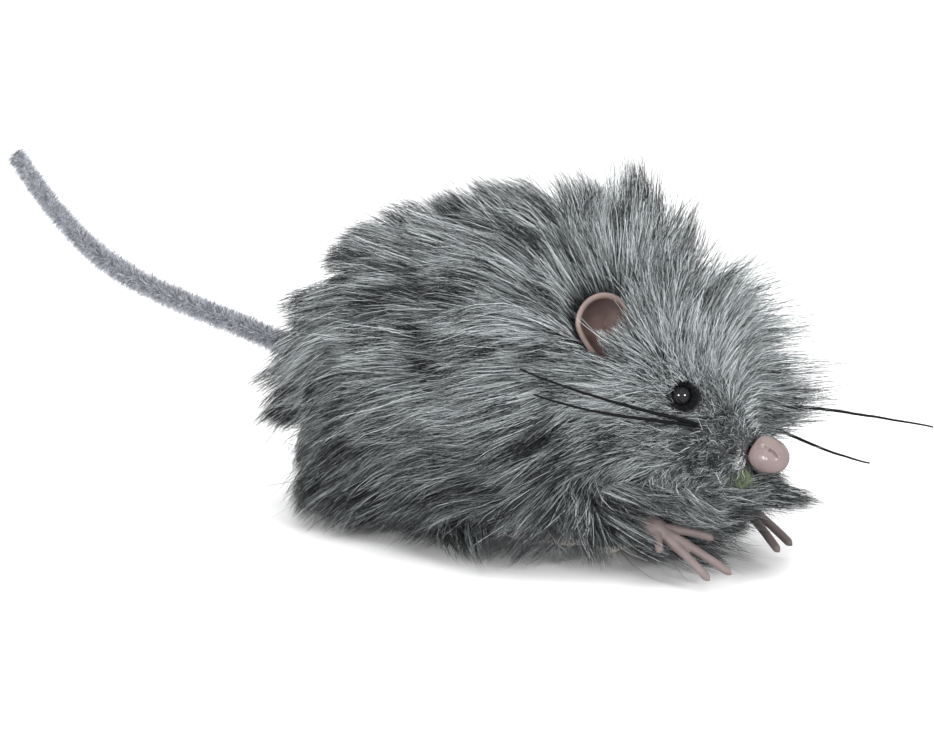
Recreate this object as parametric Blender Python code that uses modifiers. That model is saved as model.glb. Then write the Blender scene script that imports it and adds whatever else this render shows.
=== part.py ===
"""Clockwork mouse: a long-pile coat over a moulded body shell, with a wind-up motor for the rear wheels.

The mouse faces +X, its left side is +Y, and it stands on Z = 0. Sizes below are in millimetres and
are turned into metres by mm(). BODY_X moves the mouse so that its whole length is centred on the origin.
"""

import math

import bmesh
import bpy
from mathutils import Matrix, Vector

# ---------------------------------------------------------------- driving dimensions, in millimetres
BODY_X = 33.5  # from the middle of the overall length forward to the body's own zero station
GAP = 0.3  # between pieces that touch or run on each other

# Body skin, station by station: x, top, bottom, half width
SECTIONS = [
    (-56.5, 30.0, 28.0, 1.0),
    (-54.5, 37.0, 21.0, 7.5),
    (-50.0, 44.5, 13.0, 13.0),
    (-42.0, 52.5, 8.0, 18.0),
    (-28.0, 60.0, 6.5, 23.5),
    (-8.0, 64.0, 6.0, 26.0),
    (12.0, 65.5, 6.0, 25.5),
    (26.0, 64.5, 6.5, 23.0),
    (38.0, 59.5, 9.0, 18.5),
    (48.0, 51.5, 13.5, 14.0),
    (57.0, 42.0, 18.5, 9.5),
    (63.0, 35.5, 23.0, 6.0),
    (66.0, 31.0, 28.0, 1.5),
]
WAIST = 0.42  # height of the widest line, as a share of the section's height
UPPER_POWER = 2.3  # superellipse power of the back
LOWER_POWER = 4.0  # and of the flatter belly
SKIN_ROUND = 20
SKIN_LONG = 16
SHELL_WALL = 1.6

# Coat: depth of the lying pile at each station
PILE = [
    (-56.5, 5.0), (-42.0, 8.0), (-8.0, 11.0), (20.0, 14.0),
    (36.0, 12.0), (50.0, 5.0), (58.0, 2.5), (66.0, 1.2),
]
HEM_Z = 2.5
CHEST_CUT_X = 44.0  # ahead of this and below the next, the forepaws reach out and the coat stops
CHEST_CUT_Z = 18.2
WELL_ROOM = {"fur_coat": 1.1, "body_shell": 1.0, "base_plate": 0.8}  # round each rear wheel
FAR = 90.0  # well outside the body, for cutters that run past it

# Base plate and what holds it
BASE_BOTTOM = 6.5
BASE_TOP = 8.2
SHELL_RIM_Z = 8.5
FLOOR_INSET = 2.4  # width of the shell's rim that the base plate is screwed against
PANEL = (-18.0, 16.0, -5.0, 5.0)  # raised blank panel under the base plate: x from, x to, y from, y to
PANEL_DEPTH = 0.4
SCREWS = [(-39.5, 0.0), (14.0, -12.0), (14.0, 12.0)]
SCREW_SHANK_R = 1.1
SCREW_HEAD_R = 2.3
SCREW_HEAD_HEIGHT = 1.4
SCREW_TOP = 17.0
BOSS_R = 2.7

# Clockwork motor: (x, z) of each shaft
REAR_AXLE = (-30.0, 12.0)
SECOND_ARBOR = (-21.0, 24.0)
MODULE = 0.75
PRESSURE_ANGLE = math.radians(22.0)
GREAT_TEETH, SECOND_PINION_TEETH = 36, 9
SECOND_TEETH, AXLE_PINION_TEETH = 30, 10
BACKLASH = 0.24
ARBOR_LIFT = math.radians(34.0)  # slope of the line from the second arbor up to the winding arbor
ARBOR_DISTANCE = MODULE * (GREAT_TEETH + SECOND_PINION_TEETH) / 2
WINDING_ARBOR = (
    SECOND_ARBOR[0] + ARBOR_DISTANCE * math.cos(ARBOR_LIFT),
    SECOND_ARBOR[1] + ARBOR_DISTANCE * math.sin(ARBOR_LIFT),
)
FRAME_Y = 7.5
FRAME_THICK = 1.0
FRAME_OUTLINE = [(-36, 8.7), (-36, 17), (-28, 32), (-17, 47), (-8, 51), (9, 50), (12, 43), (12, 8.7)]
FRAME_CORNER_R = 2.0
TABS = [(-23.0, -19.0), (3.0, 7.0)]
TAB_BOTTOM = 5.9
PILLARS = {"front_pillar": (8.5, 14.5), "middle_pillar": (-11.0, 13.0), "spring_pillar": (4.4, 44.8)}
PILLAR_R = 1.5
PILLAR_END_R = 1.0
SHAFT_R = 0.9
AXLE_R = 1.0
ARBOR_R = 1.5
GRIP = 0.2  # room between a shaft and what is fixed on it

GREAT_Y = (1.2, 2.7)
SECOND_PINION_Y = (0.9, 3.0)
SECOND_Y = (4.6, 6.1)
AXLE_PINION_Y = (4.3, 6.4)
CLICK_Y = (3.1, 3.6)
SPRING_Y = (-6.2, -0.2)
SPRING_INNER_R = 2.7
SPRING_OUTER_R = 11.0
SPRING_TURNS = 5.5
SPRING_STRIP = 0.4
GREAT_WINDOW = (7.6, 2.6)  # how far out the great wheel's windows are, and their radius
CLICK_ARM = (3.2, 8.6)  # the click spring's inner and outer radius

# Wheels
WHEEL_R = 12.0
WHEEL_Y = (10.2, 14.0)
TYRE_DEPTH = 1.8
WHEEL_STEPS = 20
ROLLER_X = 27.0
ROLLER_R = 4.6
ROLLER_HALF = 4.0
ROLLER_STEPS = 16
ROLLER_PIN_R = 0.8
ROLLER_EAR_Y = (4.7, 6.1)
ROLLER_EAR_HALF = 2.6
ROLLER_EAR_Z = 2.4

# Winding key on the left flank
KEY_SHANK = (24.0, 38.8)
KEY_SHANK_R = 2.6
KEY_WING_Y = (38.8, 47.6)
KEY_WING_SPAN = 9.5
KEY_THICK = 1.3
KEY_BORE_Y = 33.0

# Moulded trim
EYE_AT = (53.3, 9.0, 41.5)
EYE_R = 2.8
EYE_PEG_R = 0.8
EAR_CENTRE = (35.7, 16.0, 58.4)
EAR_FACING = (0.60, 0.75, 0.27)
EAR_R = 6.6
EAR_DEPTH = 3.0
EAR_WALL = 1.2
PEG_R = 1.6
EAR_PEG = 8.5
NOSE_PEG = 5.6
NOSE_BACK = 66.6
NOSE_TIP = 76.2
NOSE_R = 4.5
NOSE_Z = 29.6
WHISKER_R = 0.4
WHISKER_ROOT = (56.5, 9.0, 36.2)
WHISKER_TIPS = {
    "right_whisker_upper": (37.4, -50.0, 54.8),
    "right_whisker_lower": (38.4, -46.0, 48.2),
    "left_whisker_upper": (79.5, 50.0, 26.6),
    "left_whisker_lower": (69.0, 40.0, 18.6),
}
WHISKER_BOW = 1.6

# Forepaw, right side: y is mirrored for the left
PALM = (50.5, -17.0, 13.0)
PALM_R = (4.4, 3.4, 2.6)
FINGER_TIPS = [(62.0, -9.5, 10.5), (70.0, -13.5, 4.2), (67.0, -18.0, 3.2), (58.0, -24.0, 7.5)]
FINGER_R = (1.3, 0.9)
ARM_ROOT = (40.5, -10.5, 17.5)
ARM_R = 2.2
PALM_TILT = math.radians(28.0)
LEFT_PAW_SHIFT = (-1.5, -2.5, 0.6)

# Tail: chenille over a wire, (x, z) down its middle
TAIL_PATH = [
    (-52.0, 31.2), (-58.0, 32.0), (-72.0, 34.1), (-87.0, 36.8), (-101.0, 39.4),
    (-114.5, 42.9), (-126.0, 48.6), (-136.5, 56.8), (-144.8, 65.4),
]
TAIL_R = 2.8
TAIL_BORE_R = 0.9
TAIL_WIRE_R = 0.6
TAIL_POINTS = 22

COLOURS = {
    "fur": ((0.36, 0.39, 0.40), 0.9, 0.0),
    "vinyl": ((0.47, 0.37, 0.35), 0.5, 0.0),
    "bead": ((0.01, 0.01, 0.012), 0.05, 0.0),
    "bristle": ((0.02, 0.02, 0.022), 0.35, 0.0),
    "shell": ((0.55, 0.55, 0.53), 0.45, 0.0),
    "steel": ((0.62, 0.62, 0.63), 0.3, 1.0),
    "brass": ((0.72, 0.55, 0.27), 0.3, 1.0),
    "nylon": ((0.85, 0.83, 0.76), 0.4, 0.0),
    "rubber": ((0.03, 0.03, 0.03), 0.7, 0.0),
    "chenille": ((0.38, 0.38, 0.42), 0.9, 0.0),
}


def mm(*values):
    """One length, or a point of the mouse's body, from millimetres to metres."""
    if len(values) == 1:
        return values[0] / 1000
    x, y, z = values
    return Vector(((BODY_X + x) / 1000, y / 1000, z / 1000))


# ---------------------------------------------------------------- scene and object helpers
for old in list(bpy.data.objects):
    bpy.data.objects.remove(old, do_unlink=True)

parts = bpy.data.collections.new("clockwork_mouse")
cutters = bpy.data.collections.new("cutters")
for made in (parts, cutters):
    bpy.context.scene.collection.children.link(made)

materials = {}
for slot, (colour, roughness, metallic) in COLOURS.items():
    material = bpy.data.materials.new(slot)
    material.use_nodes = True
    shader = material.node_tree.nodes["Principled BSDF"]
    shader.inputs["Base Color"].default_value = (*colour, 1.0)
    shader.inputs["Roughness"].default_value = roughness
    shader.inputs["Metallic"].default_value = metallic
    materials[slot] = material


def add(name, data, slot, location=(0, 0, 0)):
    """A part of the mouse, in its collection and with its material."""
    obj = bpy.data.objects.new(name, data)
    obj.location = location
    parts.objects.link(obj)
    data.materials.clear()
    data.materials.append(materials[slot])
    return obj


def add_cutter(name, data, location=(0, 0, 0)):
    """A helper that only cuts or joins."""
    obj = bpy.data.objects.new(name, data)
    obj.location = location
    obj.hide_render = True
    obj.display_type = "WIRE"
    cutters.objects.link(obj)
    return obj


def face_out(bm):
    """Turns every face of a closed bmesh outward."""
    bm.normal_update()
    bmesh.ops.recalc_face_normals(bm, faces=bm.faces)
    if bm.calc_volume(signed=True) < 0:
        bmesh.ops.reverse_faces(bm, faces=bm.faces)
    bm.normal_update()


def mesh_of(name, bm):
    """The finished mesh of a bmesh, with its normals outward and round stretches smooth."""
    face_out(bm)
    mesh = bpy.data.meshes.new(name)
    bm.to_mesh(mesh)
    bm.free()
    mesh.shade_smooth()
    mesh.set_sharp_from_angle(angle=math.radians(35))
    return mesh


def boolean(obj, other, operation="DIFFERENCE", solver="EXACT"):
    """Cuts or joins obj with a helper."""
    modifier = obj.modifiers.new(operation.title() + "_" + other.name, "BOOLEAN")
    modifier.operation = operation
    modifier.solver = solver
    modifier.object = other


def turning(axis):
    """The rotation that carries +Z onto an axis."""
    return Vector(axis).to_track_quat("Z", "Y").to_matrix().to_4x4()


def cylinder(name, start, end, radius, segments=12, end_radius=None):
    """A cylinder or cone mesh between two points in metres, with radii in metres."""
    start, end = Vector(start), Vector(end)
    bm = bmesh.new()
    bmesh.ops.create_cone(
        bm, cap_ends=True, segments=segments, radius1=radius,
        radius2=radius if end_radius is None else end_radius, depth=(end - start).length,
    )
    place = Matrix.Translation((start + end) / 2) @ turning(end - start)
    bmesh.ops.transform(bm, matrix=place, verts=bm.verts)
    return mesh_of(name, bm)


def box(name, low, high):
    """A box mesh between two corners in metres."""
    low, high = Vector(low), Vector(high)
    bm = bmesh.new()
    bmesh.ops.create_cube(bm, size=1.0)
    bmesh.ops.scale(bm, vec=high - low, verts=bm.verts)
    bmesh.ops.translate(bm, vec=(low + high) / 2, verts=bm.verts)
    return mesh_of(name, bm)


def turned(name, profile, slot, at, axis, steps=20, ring=False):
    """A turned piece: (radius, height) profile in mm, from the outer side's top down, about an axis.

    A profile that isn't a ring starts and ends on the axis.
    """
    bm = bmesh.new()
    verts = [bm.verts.new((mm(r), 0.0, mm(h))) for r, h in profile]
    for a, b in zip(verts, verts[1:] + verts[:1] if ring else verts[1:]):
        bm.edges.new((a, b))
    mesh = bpy.data.meshes.new(name)
    bm.to_mesh(mesh)
    bm.free()
    obj = add(name, mesh, slot, at)
    obj.rotation_euler = turning(axis).to_euler()
    screw = obj.modifiers.new("Turn", "SCREW")
    screw.steps = screw.render_steps = steps
    screw.use_merge_vertices = True
    screw.merge_threshold = 0.00001
    screw.use_smooth_shade = True
    return obj


def plate(name, outlines, thickness, slot=None):
    """A flat plate: closed (x, z) outlines in mm, the first one outside, extruded about its middle plane.

    The plate stands in the XZ plane, and its outlines are relative to the object's origin.
    """
    curve = bpy.data.curves.new(name, "CURVE")
    curve.dimensions = "2D"
    curve.fill_mode = "BOTH"
    curve.extrude = mm(thickness) / 2
    for outline in outlines:
        spline = curve.splines.new("POLY")
        spline.points.add(len(outline) - 1)
        for point, (x, z) in zip(spline.points, outline):
            point.co = (mm(x), mm(z), 0.0, 1.0)
        spline.use_cyclic_u = True
    return curve if slot is None else add(name, curve, slot)


def circle(centre, radius, segments=12):
    """A round outline in mm."""
    angles = [2 * math.pi * i / segments for i in range(segments)]
    return [(centre[0] + radius * math.cos(a), centre[1] + radius * math.sin(a)) for a in angles]


def rounded(corners, radius, steps=2):
    """The outline in mm with each corner replaced by an arc."""
    outline = []
    for before, corner, after in zip(corners[-1:] + corners[:-1], corners, corners[1:] + corners[:1]):
        c = Vector(corner)
        u, w = (Vector(before) - c).normalized(), (Vector(after) - c).normalized()
        half = u.angle(w) / 2
        centre = c + (u + w).normalized() * (radius / math.sin(half))
        first = c + u * (radius / math.tan(half)) - centre
        last = c + w * (radius / math.tan(half)) - centre
        for i in range(steps + 1):
            arm = first.lerp(last, i / steps).normalized() * radius
            outline.append(tuple(centre + arm))
    return outline


def stand(obj, y, x=0.0, z=0.0):
    """Turns a flat plate from the XY plane up into the XZ plane, at a body station in mm."""
    obj.rotation_euler = (math.radians(90), 0, 0)
    obj.location = mm(x, y, z)
    return obj


def to_mesh(obj):
    """A curve object made into a mesh object of the same name, with its caps welded on and facing out."""
    bpy.context.view_layer.update()
    graph = bpy.context.evaluated_depsgraph_get()
    mesh = bpy.data.meshes.new_from_object(obj.evaluated_get(graph))
    bm = bmesh.new()
    bm.from_mesh(mesh)
    bmesh.ops.remove_doubles(bm, verts=bm.verts, dist=1e-7)
    face_out(bm)
    bm.to_mesh(mesh)
    bm.free()
    name, matrix, home = obj.name, obj.matrix_world.copy(), obj.users_collection[0]
    hidden = obj.hide_render
    curve = obj.data
    bpy.data.objects.remove(obj)
    bpy.data.curves.remove(curve)
    made = bpy.data.objects.new(name, mesh)
    made.matrix_world = matrix
    made.hide_render = hidden
    made.display_type = "WIRE" if hidden else "TEXTURED"
    home.objects.link(made)
    return made


def tube(name, points, radius, slot, resolution=2, capped=True):
    """A round tube along points in metres."""
    curve = bpy.data.curves.new(name, "CURVE")
    curve.dimensions = "3D"
    curve.bevel_depth = radius
    curve.bevel_resolution = resolution
    curve.use_fill_caps = capped
    spline = curve.splines.new("POLY")
    spline.points.add(len(points) - 1)
    for point, place in zip(spline.points, points):
        point.co = (*place, 1.0)
    return add(name, curve, slot)


def smooth_through(points, t):
    """The point at share t of a Catmull-Rom curve through the points."""
    last = len(points) - 1
    at = min(max(t, 0.0), 1.0) * last
    i = min(int(at), last - 1)
    f = at - i
    p0, p1, p2, p3 = (Vector(points[min(max(k, 0), last)]) for k in (i - 1, i, i + 1, i + 2))
    bend, twist = 2 * p0 - 5 * p1 + 4 * p2 - p3, 3 * p1 - p0 - 3 * p2 + p3
    return 0.5 * (2 * p1 + (p2 - p0) * f + bend * f * f + twist * f * f * f)


def table_at(table, x):
    """A value from a table of (x, value) rows, straight between its rows."""
    for (x0, v0), (x1, v1) in zip(table, table[1:]):
        if x <= x1:
            return v0 + (v1 - v0) * max(0.0, (x - x0) / (x1 - x0))
    return table[-1][1]


# ---------------------------------------------------------------- the body's skin
def section_at(x):
    """(top, bottom, half width) of the skin at a station, smooth between the stations."""
    stations = [s[0] for s in SECTIONS]
    x = min(max(x, stations[0]), stations[-1])
    i = max(k for k in range(len(stations) - 1) if stations[k] <= x)
    t = (i + (x - stations[i]) / (stations[i + 1] - stations[i])) / (len(stations) - 1)
    return [smooth_through([(s[k], 0, 0) for s in SECTIONS], t)[0] for k in (1, 2, 3)]


def skin_point(x, angle):
    """The skin's point in mm at a station and an angle: 0 is the left side, 90 degrees the back."""
    top, bottom, half = section_at(x)
    middle = bottom + WAIST * (top - bottom)
    up = math.sin(angle) >= 0
    power, height = (UPPER_POWER, top - middle) if up else (LOWER_POWER, middle - bottom)
    c, s = math.cos(angle), math.sin(angle)
    y = half * math.copysign(abs(c) ** (2 / power), c)
    z = middle + height * math.copysign(abs(s) ** (2 / power), s)
    return Vector((x, y, z))


def skin_half_width(x, z):
    """Half the skin's width in mm at a station and height."""
    top, bottom, half = section_at(x)
    middle = bottom + WAIST * (top - bottom)
    power, height = (UPPER_POWER, top - middle) if z >= middle else (LOWER_POWER, middle - bottom)
    share = abs(z - middle) / height
    return half * (1 - share**power) ** (1 / power) if share < 1 else 0.0


def skin_top(x, y):
    """Height of the back in mm over a point of the floor."""
    top, bottom, half = section_at(x)
    middle = bottom + WAIST * (top - bottom)
    return middle + (top - middle) * (1 - (abs(y) / half) ** UPPER_POWER) ** (1 / UPPER_POWER)


def skin_mesh(name, offset):
    """The closed skin, moved out along its normals by offset(station), all in mm."""
    bm = bmesh.new()
    bmesh.ops.create_uvsphere(bm, u_segments=SKIN_ROUND, v_segments=SKIN_LONG, radius=1.0)
    first, last = SECTIONS[0][0], SECTIONS[-1][0]
    for vert in bm.verts:
        along = math.acos(max(-1.0, min(1.0, vert.co.z)))  # 0 at the snout, pi at the rump
        angle = math.atan2(vert.co.x, vert.co.y)
        x = (first + last) / 2 + (last - first) / 2 * math.cos(along)
        radial = math.hypot(vert.co.x, vert.co.y)
        if radial < 1e-6:
            top, bottom, _ = section_at(x)
            vert.co = mm(x, 0, (top + bottom) / 2)
        else:
            vert.co = mm(*skin_point(x, angle))
    face_out(bm)
    moves = [vert.normal * mm(offset(vert.co.x * 1000 - BODY_X)) for vert in bm.verts]
    for vert, move in zip(bm.verts, moves):
        vert.co += move
    return mesh_of(name, bm)


# ---------------------------------------------------------------- pegs and holes shared by shell and coat
def side_of(name):
    """+1 for a left piece, -1 for a right piece."""
    return 1 if name.startswith("left") else -1


def facing(name, vector):
    """A left-side vector, mirrored for a right piece."""
    return Vector((vector[0], vector[1] * side_of(name), vector[2])).normalized()


def eye_frame(name):
    """(point on the skin in metres, outward direction) of an eye."""
    x, y, z = EYE_AT
    ahead, above = 1.0, 1.0
    p = Vector((x, skin_half_width(x, z), z))
    along = Vector((ahead, skin_half_width(x + ahead, z) - p.y, 0))
    upward = Vector((0, skin_half_width(x, z + above) - p.y, above))
    out = upward.cross(along) * -1
    if out.y < 0:
        out = -out
    side = side_of(name)
    return mm(p.x, p.y * side, p.z), facing(name, out)


def whisker_line(name):
    """(root, tip, outward direction) of a whisker, in metres."""
    lower = 1.6 if name.endswith("lower") else 0.0
    root = mm(WHISKER_ROOT[0], WHISKER_ROOT[1] * side_of(name), WHISKER_ROOT[2] - lower)
    tip = mm(*WHISKER_TIPS[name])
    return root, tip, (tip - root).normalized()


def cut_holes(obj, reach, eye_radius, ear_radius, key_radius, whisker_radius, tail_radius):
    """Cuts every peg's hole through a wall of the body; radii in mm, reach is how far out a hole runs."""
    label = obj.name
    for side in ("right", "left"):
        at, out = eye_frame(side)
        eye_hole = cylinder("eye_hole", at - out * mm(6), at + out * mm(reach), mm(eye_radius))
        boolean(obj, add_cutter(f"{label}_{side}_eye_hole", eye_hole))
        centre = mm(EAR_CENTRE[0], EAR_CENTRE[1] * side_of(side), EAR_CENTRE[2])
        out = facing(side, EAR_FACING)
        inner, outer = centre - out * mm(EAR_DEPTH + EAR_PEG + 3.5), centre - out * mm(EAR_DEPTH / 2)
        ear_hole = cylinder("ear_hole", inner, outer, mm(ear_radius))
        boolean(obj, add_cutter(f"{label}_{side}_ear_hole", ear_hole))
    for name in WHISKER_TIPS:
        root, _, out = whisker_line(name)
        whisker_end = root + out * mm(reach + 8)
        whisker_hole = cylinder("whisker_hole", root - out * mm(5), whisker_end, mm(whisker_radius), 6)
        boolean(obj, add_cutter(f"{label}_{name}_hole", whisker_hole))
    x, z = WINDING_ARBOR
    key_hole = cylinder("key_hole", mm(x, KEY_SHANK[0] - 6, z), mm(x, FAR, z), mm(key_radius))
    boolean(obj, add_cutter(f"{label}_key_hole", key_hole))
    nose_hole = cylinder("nose_hole", mm(NOSE_BACK - 6.6, 0, NOSE_Z), mm(FAR, 0, NOSE_Z), mm(PEG_R + 0.4))
    boolean(obj, add_cutter(f"{label}_nose_hole", nose_hole))
    root, out = tail_root()
    tail_hole = cylinder("tail_hole", root - out * mm(8), root + out * mm(30), mm(tail_radius))
    boolean(obj, add_cutter(f"{label}_tail_hole", tail_hole))
    for side in ("right", "left"):
        palm, root = paw_point(side, PALM), paw_point(side, ARM_ROOT)
        past = (palm - root) * 0.2
        arm_hole = cylinder("arm_hole", root - past, palm + past, mm(ARM_R + GAP + 0.2))
        boolean(obj, add_cutter(f"{label}_{side}_arm_hole", arm_hole))


def tail_root():
    """(first point, direction) of the tail, in metres."""
    a, b = (mm(x, 0, z) for x, z in TAIL_PATH[:2])
    return a, (b - a).normalized()


def paw_point(side, point):
    """A forepaw's point in metres, from the right side's millimetres."""
    x, y, z = point
    if side.startswith("left"):
        dx, dy, dz = LEFT_PAW_SHIFT
        return mm(x + dx, -y + dy, z + dz)
    return mm(x, y, z)


def cut_wells(obj, solver="EXACT"):
    """Cuts the room of both rear wheels out of a wall of the body."""
    x, z = REAR_AXLE
    room = WELL_ROOM[obj.name]
    reach = WHEEL_R + room
    for i, side in enumerate((-1, 1)):
        low, high = sorted((side * (WHEEL_Y[0] - room), side * (WHEEL_Y[1] + room)))
        well = box("wheel_well", mm(x - reach, low, -5), mm(x + reach, high, z + reach))
        boolean(obj, add_cutter(f"{obj.name}_wheel_well_{i}", well), solver=solver)


# ---------------------------------------------------------------- shell, base plate and coat
def make_body_shell():
    shell = add("body_shell", skin_mesh("body_shell", lambda x: 0.0), "shell")
    inside = add_cutter("shell_inside", skin_mesh("shell_inside", lambda x: -SHELL_WALL))
    boolean(shell, inside)
    for i, (x, y) in enumerate(SCREWS):
        top = min(skin_top(*at) for at in circle((x, y), BOSS_R, 8)) - SHELL_WALL * 0.4
        post = cylinder("boss", mm(x, y, SHELL_RIM_Z - 4), mm(x, y, top), mm(BOSS_R))
        boolean(shell, add_cutter(f"boss_{i}", post), "UNION")
    below = box("below_rim", mm(-FAR, -FAR, -FAR), mm(FAR, FAR, SHELL_RIM_Z))
    boolean(shell, add_cutter("below_rim", below))
    floor = plate("floor_opening", [grown(base_outline(), -FLOOR_INSET)], 12.0)
    boolean(shell, to_mesh(add_cutter("floor_opening", floor, mm(0, 0, 6.0))))
    cut_wells(shell)
    for i, (x, y) in enumerate(SCREWS):
        pilot = cylinder("pilot", mm(x, y, 0), mm(x, y, SCREW_TOP + 1), mm(SCREW_SHANK_R + GAP), 10)
        boolean(shell, add_cutter(f"pilot_{i}", pilot))
    cut_holes(shell, 4, EYE_PEG_R + GAP, PEG_R + GAP, KEY_SHANK_R + 0.6, WHISKER_R + GAP, TAIL_R + GAP)


def make_coat():
    coat = add("fur_coat", skin_mesh("fur_coat", lambda x: table_at(PILE, x)), "fur")
    boolean(coat, add_cutter("coat_inside", skin_mesh("coat_inside", lambda x: GAP)))
    boolean(coat, add_cutter("below_hem", box("below_hem", mm(-FAR, -FAR, -FAR), mm(FAR, FAR, HEM_Z))))
    chest = box("chest_cut", mm(CHEST_CUT_X, -FAR, -FAR), mm(FAR, FAR, CHEST_CUT_Z))
    boolean(coat, add_cutter("chest_cut", chest))
    footprint = plate("footprint", [grown(base_outline(), 0.5)], 60.0)
    opening = add_cutter("belly_opening", footprint, mm(0, 0, SHELL_RIM_Z - 30 + 1.0))
    boolean(coat, to_mesh(opening))
    cut_wells(coat)
    cut_holes(coat, 14, EYE_R + 0.7, PEG_R + GAP, KEY_SHANK_R + 0.9, WHISKER_R + 0.6, TAIL_R + 0.6)
    for side in ("right", "left"):
        centre = mm(EAR_CENTRE[0], EAR_CENTRE[1] * side_of(side), EAR_CENTRE[2])
        out = facing(side, EAR_FACING)
        inner, outer = centre - out * mm(EAR_DEPTH + 1.0), centre + out * mm(22)
        room = cylinder("ear_room", inner, outer, mm(EAR_R + 0.7), 16)
        boolean(coat, add_cutter(f"{side}_ear_room", room))
    seat = cylinder("nose_seat", mm(NOSE_BACK - GAP, 0, NOSE_Z), mm(FAR, 0, NOSE_Z), mm(NOSE_R + 0.4), 16)
    boolean(coat, add_cutter("nose_seat", seat))


def base_outline(steps=14):
    """The base plate's outline in mm: the skin's footprint at the shell's rim, seen from above."""
    inside = [x / 4 for x in range(-250, 265) if skin_half_width(x / 4, SHELL_RIM_Z) > 0.5]
    rear, front = inside[0], inside[-1]
    left = []
    for i in range(steps + 1):
        x = (rear + front) / 2 + (front - rear) / 2 * math.cos(math.pi * i / steps)
        left.append((x, skin_half_width(x, SHELL_RIM_Z)))
    return left + [(x, -y) for x, y in reversed(left)]


def grown(outline, by):
    """An outline in mm moved outward from its middle by a distance."""
    middle = Vector((sum(p[0] for p in outline), sum(p[1] for p in outline))) / len(outline)
    return [tuple(Vector(p) + (Vector(p) - middle).normalized() * by) for p in outline]


def rectangle(x0, x1, y0, y1):
    return [(x0, y0), (x1, y0), (x1, y1), (x0, y1)]


def make_base_plate():
    """The plate, with slots for the motor's tabs, a blank panel below and two ears for the roller's pin."""
    holes = [circle(at, SCREW_SHANK_R + GAP) for at in SCREWS]
    for y in (-FRAME_Y, FRAME_Y):
        for x0, x1 in TABS:
            half = FRAME_THICK / 2 + GAP
            holes.append(rectangle(x0 - GAP, x1 + GAP, y - half, y + half))
    axle_x, reach = REAR_AXLE[0], MODULE * (AXLE_PINION_TEETH / 2 + 1) + 2 * GAP
    holes.append(rectangle(axle_x - reach, axle_x + reach, AXLE_PINION_Y[0] - 0.5, AXLE_PINION_Y[1] + 0.5))
    reach, half = ROLLER_R + 0.8, ROLLER_HALF + 0.4
    holes.append(rectangle(ROLLER_X - reach, ROLLER_X + reach, -half, half))
    base = plate("base_plate", [base_outline()] + holes, BASE_TOP - BASE_BOTTOM, "shell")
    base.location = mm(0, 0, (BASE_TOP + BASE_BOTTOM) / 2)
    base = to_mesh(base)
    x0, x1, y0, y1 = PANEL
    panel = box("panel", mm(x0, y0, BASE_BOTTOM - PANEL_DEPTH), mm(x1, y1, BASE_BOTTOM + 0.5))
    boolean(base, add_cutter("panel", panel), "UNION", "MANIFOLD")
    for i, side in enumerate((-1, 1)):
        near, far = sorted((side * ROLLER_EAR_Y[0], side * ROLLER_EAR_Y[1]))
        low = mm(ROLLER_X - ROLLER_EAR_HALF, near, ROLLER_EAR_Z)
        high = mm(ROLLER_X + ROLLER_EAR_HALF, far, BASE_BOTTOM + 0.5)
        boolean(base, add_cutter(f"roller_ear_{i}", box("roller_ear", low, high)), "UNION", "MANIFOLD")
    right, left = mm(ROLLER_X, -9, ROLLER_R), mm(ROLLER_X, 9, ROLLER_R)
    bore = cylinder("roller_bore", right, left, mm(ROLLER_PIN_R + GAP))
    boolean(base, add_cutter("roller_bore", bore), solver="MANIFOLD")
    cut_wells(base, "MANIFOLD")


def make_base_screws():
    length = SCREW_TOP - BASE_BOTTOM
    profile = [
        (0, length), (SCREW_SHANK_R * 0.5, length), (SCREW_SHANK_R, length - 1.5), (SCREW_SHANK_R, -GAP),
        (SCREW_HEAD_R, -GAP), (SCREW_HEAD_R, -0.9), (SCREW_HEAD_R * 0.6, -SCREW_HEAD_HEIGHT),
        (0, -SCREW_HEAD_HEIGHT),
    ]
    for i, (x, y) in enumerate(SCREWS, 1):
        turned(f"base_screw_{i}", profile, "steel", mm(x, y, BASE_BOTTOM), (0, 0, 1), 10)


# ---------------------------------------------------------------- clockwork motor
def tooth_half_angle(teeth, radius):
    """Half the angle that a tooth fills at a radius in mm, on an involute flank."""
    pitch_r = MODULE * teeth / 2
    base_r = pitch_r * math.cos(PRESSURE_ANGLE)

    def involute(r):
        pressure = math.acos(min(1.0, base_r / r))
        return math.tan(pressure) - pressure

    thick = math.pi * MODULE / 2 - BACKLASH / 2
    return thick / (2 * pitch_r) + involute(pitch_r) - involute(max(radius, base_r))


def gear_outline(teeth, phase, addendum=0.85, dedendum=1.25):
    """A gear's outline in mm, with a tooth centred on the phase angle."""
    pitch_r = MODULE * teeth / 2
    root_r, tip_r = pitch_r - dedendum * MODULE, pitch_r + addendum * MODULE
    radii = [root_r, pitch_r, tip_r]
    outline = []
    for i in range(teeth):
        middle = phase + 2 * math.pi * i / teeth
        halves = [tooth_half_angle(teeth, r) for r in radii]
        flank = list(zip(halves, radii))
        sides = [(-h, r) for h, r in flank] + flank[::-1]
        outline += [(r * math.cos(middle + h), r * math.sin(middle + h)) for h, r in sides]
    return outline


def mesh_phases():
    """The angle of one tooth of each gear, so that both pairs are in mesh at rest."""
    to_second = math.atan2(SECOND_ARBOR[1] - REAR_AXLE[1], SECOND_ARBOR[0] - REAR_AXLE[0])
    return {
        "axle_pinion": to_second,
        "second_wheel": to_second + math.pi + math.pi / SECOND_TEETH,
        "second_pinion": ARBOR_LIFT + math.pi / SECOND_PINION_TEETH,
        "great_wheel": ARBOR_LIFT + math.pi,
    }


def make_gear(name, teeth, centre, span, bore, slot, holes=()):
    """A flat gear between two Y values in mm, standing at a shaft."""
    outlines = [gear_outline(teeth, mesh_phases()[name]), circle((0, 0), bore), *holes]
    gear = plate(name, outlines, span[1] - span[0], slot)
    return stand(gear, sum(span) / 2, *centre)


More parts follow.
